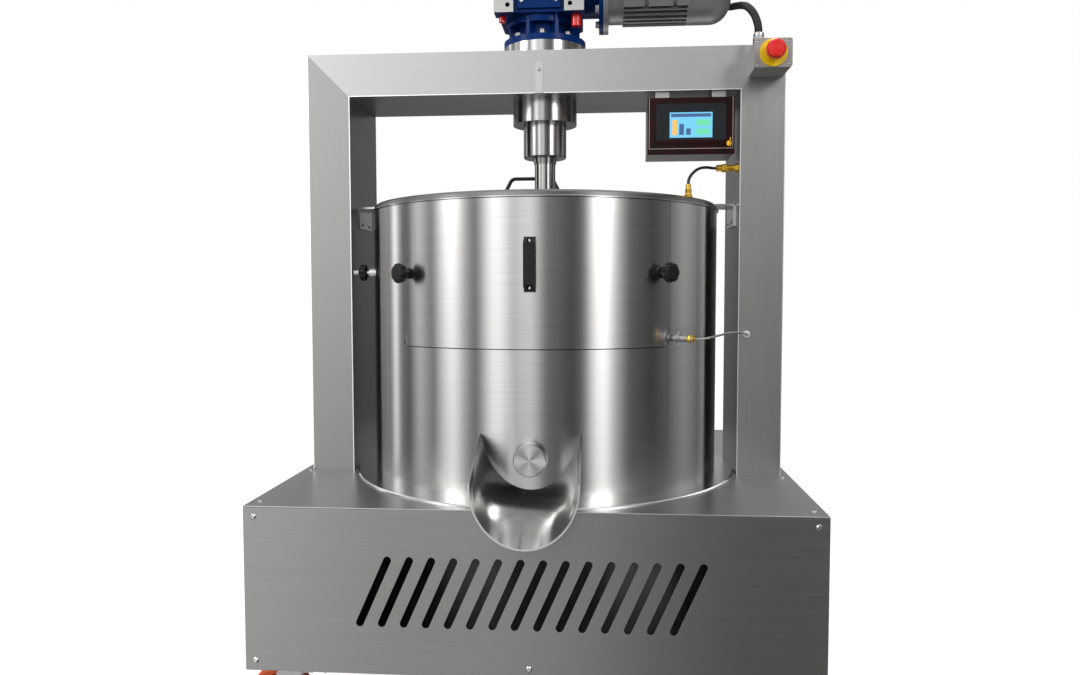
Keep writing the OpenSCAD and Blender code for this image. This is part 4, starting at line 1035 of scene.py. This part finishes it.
@dataclass
class Fasteners:
    """A set of bolts or screws, laid out by a Geometry Nodes tree."""

    name: str
    layout: Layout
    material: bpy.types.Material
    count: tuple[int, int]
    size: Pair
    turn: float = 0.0

    def tree(self) -> bpy.types.NodeTree:
        """Builds the tree: points in a ring or a grid, and a copy of the input piece on each.

        Returns:
            The tree.
        """
        graph, (piece, across, along, width, height, turn) = start_tree(
            f"{self.name}_{self.layout.value}",
            (("Piece", "Geometry"), ("Across", "Int"), ("Along", "Int"), ("Width", "Float"),
             ("Height", "Float"), ("Turn", "Float")))
        if self.layout is Layout.RING:
            points = graph.get("GeometryNodeMeshCircle", 0, None, {"Vertices": across, "Radius": width})
        else:
            points = graph.get("GeometryNodeMeshGrid", 0, None, {
                "Size X": width, "Size Y": height, "Vertices X": across, "Vertices Y": along})
        placed = graph.get("GeometryNodeTransform", 0, None,
                           {"Geometry": points, "Rotation": graph.combine(0.0, 0.0, turn)})
        copies = graph.get("GeometryNodeInstanceOnPoints", 0, None, {"Points": placed, "Instance": piece})
        return end_tree(graph, copies, self.material)

    def build(self, head: bpy.types.Object, place: Matrix, body: str = "stand") -> None:
        """Copies a head over the layout, puts the set in place and rides it on its body.

        Args:
            head: The bolt or screw, which is used up.
            place: The placing matrix of the layout, in metres.
            body: The body that carries the set.
        """
        values = (*self.count, *self.size, self.turn)
        report(run_tree(head, self.tree(), values, self.name, place), body)


def hexagon(radius: float, height: float, place: Optional[Matrix] = None) -> list[Vector]:
    """Returns the corners of a hexagon over a place, in metres."""
    corners = [math.radians(60 * i) for i in range(6)]
    return [(place or Matrix()) @ Vector((radius * math.cos(a), radius * math.sin(a), height)) for a in corners]


def hex_bolt(paint: bpy.types.Material, across: float, tall: float, washer: float = 1.25) -> bpy.types.Object:
    """Makes a hexagon head with a washer, standing on the XY plane.

    Args:
        paint: The finish.
        across: The radius of the head's corners, in metres.
        tall: The head's height, in metres.
        washer: The washer's radius over the head's.

    Returns:
        The object.
    """
    shell = Shell("hex_bolt")
    thick = tall * 0.18
    shell.lathe([(0.0, 0.0), (across * washer, 0.0), (across * washer, thick), (0.0, thick)], Matrix(), 20)
    shell.loft([hexagon(across, thick), hexagon(across, tall * 0.85), hexagon(across * 0.86, tall)])
    return shell.finish(paint)


def round_screw(paint: bpy.types.Material, radius: float, tall: float) -> bpy.types.Object:
    """Makes a domed screw head with a socket, standing on the XY plane.

    Args:
        paint: The finish.
        radius: The head's radius, in metres.
        tall: The head's height, in metres.

    Returns:
        The object.
    """
    shell = Shell("round_screw")
    shell.lathe([
        (0.0, tall * 0.35), (radius * 0.42, tall * 0.4), (radius * 0.42, tall), (radius * 0.62, tall * 0.97),
        (radius * 0.9, tall * 0.62), (radius, tall * 0.25), (radius, 0.0), (0.0, 0.0)], Matrix(), 24)
    return shell.finish(paint)


def smooth_route(corners: Sequence[Point], steps: int) -> list[Vector]:
    """Returns points on a smooth curve through a route's corners, given in millimetres.

    Args:
        corners: The corners that the curve passes.
        steps: The number of points between two corners.

    Returns:
        The points in metres.
    """
    p = [mm(*c) for c in corners]
    last = len(p) - 1
    points = []
    for i in range(last):
        a, b, c, d = p[max(i - 1, 0)], p[i], p[i + 1], p[min(i + 2, last)]
        for k in range(steps):
            t = k / steps
            points.append(0.5 * (2 * b + (c - a) * t + (2 * a - 5 * b + 4 * c - d) * t * t
                                 + (3 * b - a - 3 * c + d) * t ** 3))
    return points + [p[last]]


def heading(points: Sequence[Vector], i: int) -> Vector:
    """Returns the direction of a route at one of its points."""
    return (points[min(i + 1, len(points) - 1)] - points[max(i - 1, 0)]).normalized()


def tube(shell: "Shell", points: Sequence[Vector], radius: float, sides: int = 12) -> None:
    """Adds a round tube along points to a shell.

    Args:
        shell: The shell that takes the tube.
        points: The points of its centre line.
        radius: Its radius, in metres.
        sides: The number of sides.
    """
    side = Vector((0.0, 0.0, 1.0))
    rings = []
    for i, point in enumerate(points):
        way = heading(points, i)
        side = (side - way * side.dot(way)).normalized()
        other = way.cross(side)
        rings.append([point + radius * (math.cos(a) * side + math.sin(a) * other)
                      for a in (2 * math.pi * k / sides for k in range(sides))])
    shell.loft(rings)


@dataclass
class Cords:
    """Conduit, hose and probe lead, each held at both ends by the machine."""

    paints: Paints
    lead_r: float = 0.0024
    hose_r: float = 0.0032
    core_r: float = 0.0074
    rib_r: float = 0.0011
    rib_pitch: float = 0.0034
    lead: tuple[Point, ...] = (
        (319, -334.5, 801), (328, -343, 801.5), (346, -345, 804), (370, -318, 808), (398, -268, 810),
        (425, -215, 808), (446, -170, 803), (455, -140, 800), (456, -120, 799))
    hose: tuple[Point, ...] = (
        (392, -69, 1172), (384, -70, 1172), (370, -85, 1171.6), (355, -108, 1167.5), (342, -138, 1159.6),
        (331.5, -168, 1149.6), (323.5, -193, 1140), (318, -212, 1131), (315.2, -223.8, 1123.5),
        (315, -225, 1117.3))
    conduit: tuple[Point, ...] = (
        (308, 107, 1590), (340, 107, 1590), (380, 103, 1587), (414, 90, 1580), (438, 62, 1571),
        (449, 28, 1562), (455, -10, 1550), (460, -55, 1531), (466, -100, 1501), (469, -132, 1468),
        (468, -148, 1440), (468, -150, 1421))
    gland: tuple[Pair, ...] = (
        (0.0088, -0.001), (0.0125, -0.001), (0.0125, 0.012), (0.0112, 0.014), (0.0112, 0.022), (0.0096, 0.024),
        (0.0088, 0.024))

    def build(self) -> None:
        """Builds the three cords and the glands at the conduit's ends."""
        self._plain("probe_lead", self.lead, self.lead_r, "braid")
        self._plain("lid_hose", self.hose, self.hose_r, "hose_black")
        self._ribbed()
        self._glands()

    def _plain(self, node: str, route: Sequence[Point], radius: float, paint: str) -> None:
        """Builds a smooth cord that stands for its CAD tube.

        Args:
            node: The CAD node.
            route: The corners of its centre line, in millimetres.
            radius: The cord's radius, in metres.
            paint: The name of its finish.
        """
        shell = Shell(f"{node}_smooth")
        tube(shell, smooth_route(route, 8), radius, 14)
        piece = shell.finish(self.paints[paint], smooth=80.0)
        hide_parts(node)
        report(piece, "stand")

    def _ribbed(self) -> None:
        """Builds the conduit: a core with a rib every few millimetres along it."""
        points = smooth_route(self.conduit, 10)
        data = bpy.data.curves.new("conduit_line", "CURVE")
        data.dimensions = "3D"
        spline = data.splines.new("POLY")
        spline.points.add(len(points) - 1)
        for place, point in zip(spline.points, points):
            place.co = (*point, 1.0)
        line = link(bpy.data.objects.new("conduit_line", data))
        sizes = (self.core_r, self.rib_r, self.rib_pitch)
        piece = run_tree(line, self._rib_tree(), sizes, "conduit_ribbed", Matrix())
        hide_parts("motor_conduit")
        report(piece, "stand")

    def _rib_tree(self) -> bpy.types.NodeTree:
        """Builds the tree that puts ribs along a curve.

        Returns:
            The tree.
        """
        graph, (line, core, rib, pitch) = start_tree(
            "conduit_ribs",
            (("Line", "Geometry"), ("Core radius", "Float"), ("Rib radius", "Float"), ("Pitch", "Float")))
        ring = graph.get("GeometryNodeCurvePrimitiveCircle", 0, None, {"Resolution": 14, "Radius": core})
        wire = graph.get("GeometryNodeCurvePrimitiveCircle", 0, None, {"Resolution": 6, "Radius": rib})
        hoop = graph.get("GeometryNodeCurveToMesh", 0, None, {"Curve": ring, "Profile Curve": wire})
        skin = graph.get("GeometryNodeCurveToMesh", 0, None,
                         {"Curve": line, "Profile Curve": ring, "Fill Caps": True})
        dots = graph.get("GeometryNodeResampleCurve", 0, {"mode": "LENGTH"}, {"Curve": line, "Length": pitch})
        way = graph.get("GeometryNodeInputTangent", 0)
        turn = graph.get("FunctionNodeAlignRotationToVector", 0, {"axis": "Z"}, {"Vector": way})
        hoops = graph.get("GeometryNodeInstanceOnPoints", 0, None,
                          {"Points": dots, "Instance": hoop, "Rotation": turn})
        both = graph.node("GeometryNodeJoinGeometry")
        for part in (hoops, skin):
            graph.tree.links.new(part.socket, both.inputs[0])
        return end_tree(graph, Sock(graph, both.outputs[0]), self.paints["conduit_steel"])

    def _glands(self) -> None:
        """Builds the gland nuts at both ends of the conduit."""
        shell = Shell("conduit_glands")
        for at, way in ((self.conduit[0], (1, 0, 0)), (self.conduit[-1], UP)):
            shell.lathe(self.gland, aim(mm(*at), way), 24)
        report(shell.finish(self.paints["zinc"]), "stand")


@dataclass
class Drive:
    """Bolts and screws of the gearbox, the motor and the bearing housing."""

    paints: Paints
    foot_top: float = 1.475
    flange_inset: float = 0.010
    bolt_ring: float = 0.080
    cover: Point = (-0.007, -0.094, 1.6145)
    cover_size: Pair = (0.078, 0.138)
    neck_step: float = 0.077
    neck_ring: float = 0.047
    screw_r: float = 0.0045

    def build(self) -> None:
        """Builds the bolts and screws of the drive."""
        zinc, steel = self.paints["zinc"], self.paints["bright_steel"]
        Fasteners("foot_bolts", Layout.RING, zinc, (8, 1), (self.bolt_ring, 0.0)).build(
            hex_bolt(zinc, 0.009, 0.011), aim((0, 0, self.foot_top), UP))
        face = (low("motor_body")[0] - self.flange_inset, 0, middle("motor_body")[2])
        Fasteners("flange_bolts", Layout.RING, zinc, (4, 1), (self.bolt_ring, 0.0), math.pi / 4).build(
            hex_bolt(zinc, 0.008, 0.009), aim(face, (-1, 0, 0)))
        Fasteners("cover_screws", Layout.GRID, steel, (2, 2), self.cover_size).build(
            round_screw(steel, self.screw_r, 0.003), aim(self.cover, FORWARD))
        neck = (0, 0, low("bearing_housing")[2] + self.neck_step)
        Fasteners("neck_screws", Layout.RING, steel, (6, 1), (self.neck_ring, 0.0)).build(
            round_screw(steel, self.screw_r, 0.003), aim(neck, (0, 0, -1)))


@dataclass
class Controls:
    """Legend ring, screws and screen of the operating boxes."""

    paints: Paints
    legend_r: float = 0.029
    legend_bore: float = 0.0115
    legend_t: float = 0.0024
    legend_edge: float = 0.0008
    screw_at: Pair = (0.064, 0.046)
    screw_t: float = 0.0016
    screen_corner: Point = (0.2835, -0.1175, 1.2325)
    tiles: tuple[tuple[str, str, tuple[int, int, int, int], float], ...] = (
        ("screen_field", "screen_sky", (0, 0, 93, 55), 0.3),
        ("screen_head", "screen_ink", (3, 45, 87, 7), 0.6),
        ("screen_keys", "screen_mint", (58, 6, 30, 13), 0.6),
        ("screen_gauge", "screen_amber", (6, 6, 10, 33), 0.6),
        ("screen_bar", "screen_ink", (21, 6, 10, 24), 0.6),
        ("screen_bar_b", "screen_ink", (36, 6, 10, 14), 0.6),
        ("screen_light", "screen_mint", (58, 26, 30, 13), 0.6),
    )

    def build(self) -> None:
        """Builds the pieces on the stop box and on the touch panel."""
        self._legend()
        self._box_screws()
        self._screen()

    def _legend(self) -> None:
        """Builds the yellow ring behind the stop button."""
        x, _, z = middle("stop_button")
        shell = Shell("stop_legend")
        outer, inner, thick, round_off = self.legend_r, self.legend_bore, self.legend_t, self.legend_edge
        shell.lathe([(inner, 0.0), (outer, 0.0), (outer, thick - round_off), (outer - round_off, thick),
                     (inner, thick)], aim((x, low("stop_box")[1], z), FORWARD), 64)
        report(shell.finish(self.paints["yellow_plastic"]), "stand")

    def _box_screws(self) -> None:
        """Builds the four cover screws of the stop box."""
        steel = self.paints["bright_steel"]
        x, _, z = middle("stop_box")
        Fasteners("stop_box_screws", Layout.GRID, steel, (2, 2), self.screw_at).build(
            round_screw(steel, 0.0028, self.screw_t), aim((x, low("stop_box")[1] + self.screw_t, z), FORWARD))

    def _screen(self) -> None:
        """Builds the lit screen: a field, a head bar, gauge bars and two keys."""
        for name, paint, (x, z, wide, tall), proud in self.tiles:
            shell = Shell(name)
            corner = Vector(self.screen_corner) + mm(x, -proud, z)
            shell.block(corner, corner + mm(wide, proud + 0.2, tall))
            report(shell.finish(self.paints[paint]), "stand")


@dataclass
class Drum:
    """Screws on the hatch and the lid brackets, collars on the probe, and a black strip of painted shade under
    the hatch's edges.
    """

    paints: Paints
    handle_step: float = 0.0190
    handle_pitch: float = 0.089
    bracket_x: float = 0.408
    bracket_pitch: float = 0.056
    hatch_half: float = 42.63
    hatch_gap: float = 0.0009
    shade_line_start: float = 0.812
    shade_line_corner: Pair = (1.5, 0.0105)
    shade_line_from: float = -39.0
    shade_line_step: float = 2.0
    shade_line_shell: Pair = (0.4006, 0.4024)
    shade_line_half: float = 0.0008
    probe_angle: float = 43.7
    probe_z: float = 0.801
    collars: tuple[tuple[float, tuple[Pair, ...]], ...] = (
        (0.447, ((0.0060, 0.0), (0.0078, 0.0), (0.0078, 0.005), (0.0060, 0.006))),
        (0.4575, ((0.0035, 0.0), (0.0062, 0.0), (0.0062, 0.004), (0.0035, 0.004))))

    def build(self) -> None:
        """Builds the pieces of the drum."""
        steel = self.paints["bright_steel"]
        foot = (0.0, low("hatch_handle")[1] + self.handle_step, middle("hatch_handle")[2])
        Fasteners("handle_screws", Layout.GRID, steel, (1, 2), (0.0, self.handle_pitch)).build(
            round_screw(steel, 0.0047, 0.0045), aim(foot, FORWARD), "hatch")
        for side, letter in ((-1, "l"), (1, "r")):
            Fasteners(f"bracket_screws_{letter}", Layout.GRID, steel, (1, 2), (0.0, self.bracket_pitch)).build(
                round_screw(steel, 0.005, 0.003),
                aim((side * self.bracket_x, 0.0, high("drum_brackets")[2]), UP))
        self._probe_collars()
        self._hatch_shade_line()

    def _hatch_shade_line(self) -> None:
        """Builds a black strip along the hatch's lower edge and its sides, which stands for the shadow line
        under the hatch: painted shade.
        """
        # Painted shade: a black strip where the hatch's shadow line falls on the drum.
        base = low("front_hatch")[2] - self.hatch_gap
        top = high("front_hatch")[2] - 0.001
        half, (cut, rise), step = self.hatch_half, self.shade_line_corner, self.shade_line_step
        shell = Shell("hatch_shade_line")
        left = [(-half, top), (-half, base + rise), (-half + cut, base)]
        level = [(self.shade_line_from + step * i, base) for i in range(40)] + [(half - cut, base)]
        self._strip(shell, left + level)
        self._strip(shell, [(half, self.shade_line_start), (half, top)])
        report(shell.finish(self.paints["black_plastic"]), "hatch")

    def _strip(self, shell: "Shell", route: Sequence[Pair]) -> None:
        """Adds a strip on the drum along a route.

        Args:
            shell: The shell that takes the strip.
            route: Angles from the front in degrees, and heights in metres.
        """
        (inner, outer), half = self.shade_line_shell, self.shade_line_half
        flat = [Vector((math.radians(a) * inner, z)) for a, z in route]
        rings = []
        for i, (angle, z) in enumerate(route):
            way = heading(flat, i)
            ring = []
            for radius, side in ((inner, -half), (outer, -half), (outer, half), (inner, half)):
                turn = math.radians(angle) - way[1] * side / inner
                ring.append(Vector((radius * math.sin(turn), -radius * math.cos(turn), z + way[0] * side)))
            rings.append(ring)
        shell.loft(rings)

    def _probe_collars(self) -> None:
        """Builds the brass collars of the probe."""
        angle = math.radians(self.probe_angle)
        way = Vector((math.sin(angle), -math.cos(angle), 0.0))
        shell = Shell("probe_collar")
        for reach, profile in self.collars:
            shell.lathe(profile, aim(way * reach + Vector((0, 0, self.probe_z)), way), 24)
        report(shell.finish(self.paints["brass"]), "stand")


@dataclass
class Castors:
    """Hub plates of the wheels and nuts of the axles."""

    paints: Paints
    wheels: tuple[tuple[str, str, str], ...] = (
        ("castor_wheel_front_left", "wheel_front_left", "swivel_front"),
        ("castor_wheel_rear_left", "wheel_rear_left", "swivel_rear"),
        ("castor_wheel_front_right", "wheel_front_right", "stand"),
        ("castor_wheel_rear_right", "wheel_rear_right", "stand"))
    hub: tuple[Pair, ...] = (
        (0.0165, -0.001), (0.0465, -0.001), (0.0465, 0.0012), (0.042, 0.0040), (0.038, 0.0016), (0.022, 0.0016),
        (0.0185, 0.0045), (0.0165, 0.0045))
    hub_inset: float = 0.0089
    nut_at: float = 0.0311
    nut_r: float = 0.009
    nut_t: float = 0.005

    def build(self) -> None:
        """Builds the hubs and nuts of the four castors."""
        sides = (Vector((0, -1, 0)), Vector((0, 1, 0)))
        for node, wheel, fork in self.wheels:
            centre = middle(node)
            half = (high(node) - low(node))[1] / 2
            core, nuts = Shell(f"{wheel}_core"), Shell(f"{wheel}_nuts")
            for way in sides:
                core.lathe(self.hub, aim(centre + way * (half - self.hub_inset), way), 48)
                place = aim(centre + way * self.nut_at, way)
                nuts.loft([hexagon(self.nut_r, 0.0, place), hexagon(self.nut_r, self.nut_t - 0.001, place),
                           hexagon(self.nut_r * 0.85, self.nut_t, place)])
            report(core.finish(self.paints["black_plastic"]), wheel)
            report(nuts.finish(self.paints["zinc"]), fork)


@dataclass
class SheetWork:
    """Rounded edges on the folded sheets, the portal and the boxes."""

    paints: Paints
    rounded: tuple[tuple[str, float, str, str], ...] = (
        ("base_front_panel", 0.9, "stand", "brushed_stainless"),
        ("base_shell", 0.9, "stand", "brushed_stainless"),
        ("base_top_plate", 0.9, "stand", "brushed_stainless"),
        ("portal_frame", 1.6, "stand", "brushed_stainless"),
        ("front_hatch", 0.7, "hatch", "brushed_stainless"),
        ("panel_box", 1.2, "stand", "brushed_stainless"),
        ("stop_box", 0.8, "stand", "grey_plastic"),
        ("gearbox", 2.0, "stand", "blue_paint"),
        ("terminal_box", 2.0, "stand", "motor_paint"))

    def build(self) -> None:
        """Builds a rounded copy for each node named."""
        for node, width, body, slot in self.rounded:
            softened(node, self.paints[NODE_FINISH[node]], width * MM, body)


def dress_nodes(paints: Paints) -> None:
    """Gives every CAD node its finish.

    Args:
        paints: The finishes.
    """
    for node, finish in NODE_FINISH.items():
        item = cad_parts[node]
        for place in item.material_slots:
            place.material = paints[finish]


def main() -> None:
    """Builds the scene in order and reports each piece."""
    logging.basicConfig(level=logging.INFO, format="%(name)s: %(message)s")
    Studio().build()
    paints = Paints()
    dress_nodes(paints)
    SheetWork(paints).build()
    Cords(paints).build()
    Drive(paints).build()
    Controls(paints).build()
    Drum(paints).build()
    Castors(paints).build()


if __name__ == "__main__":
    main()
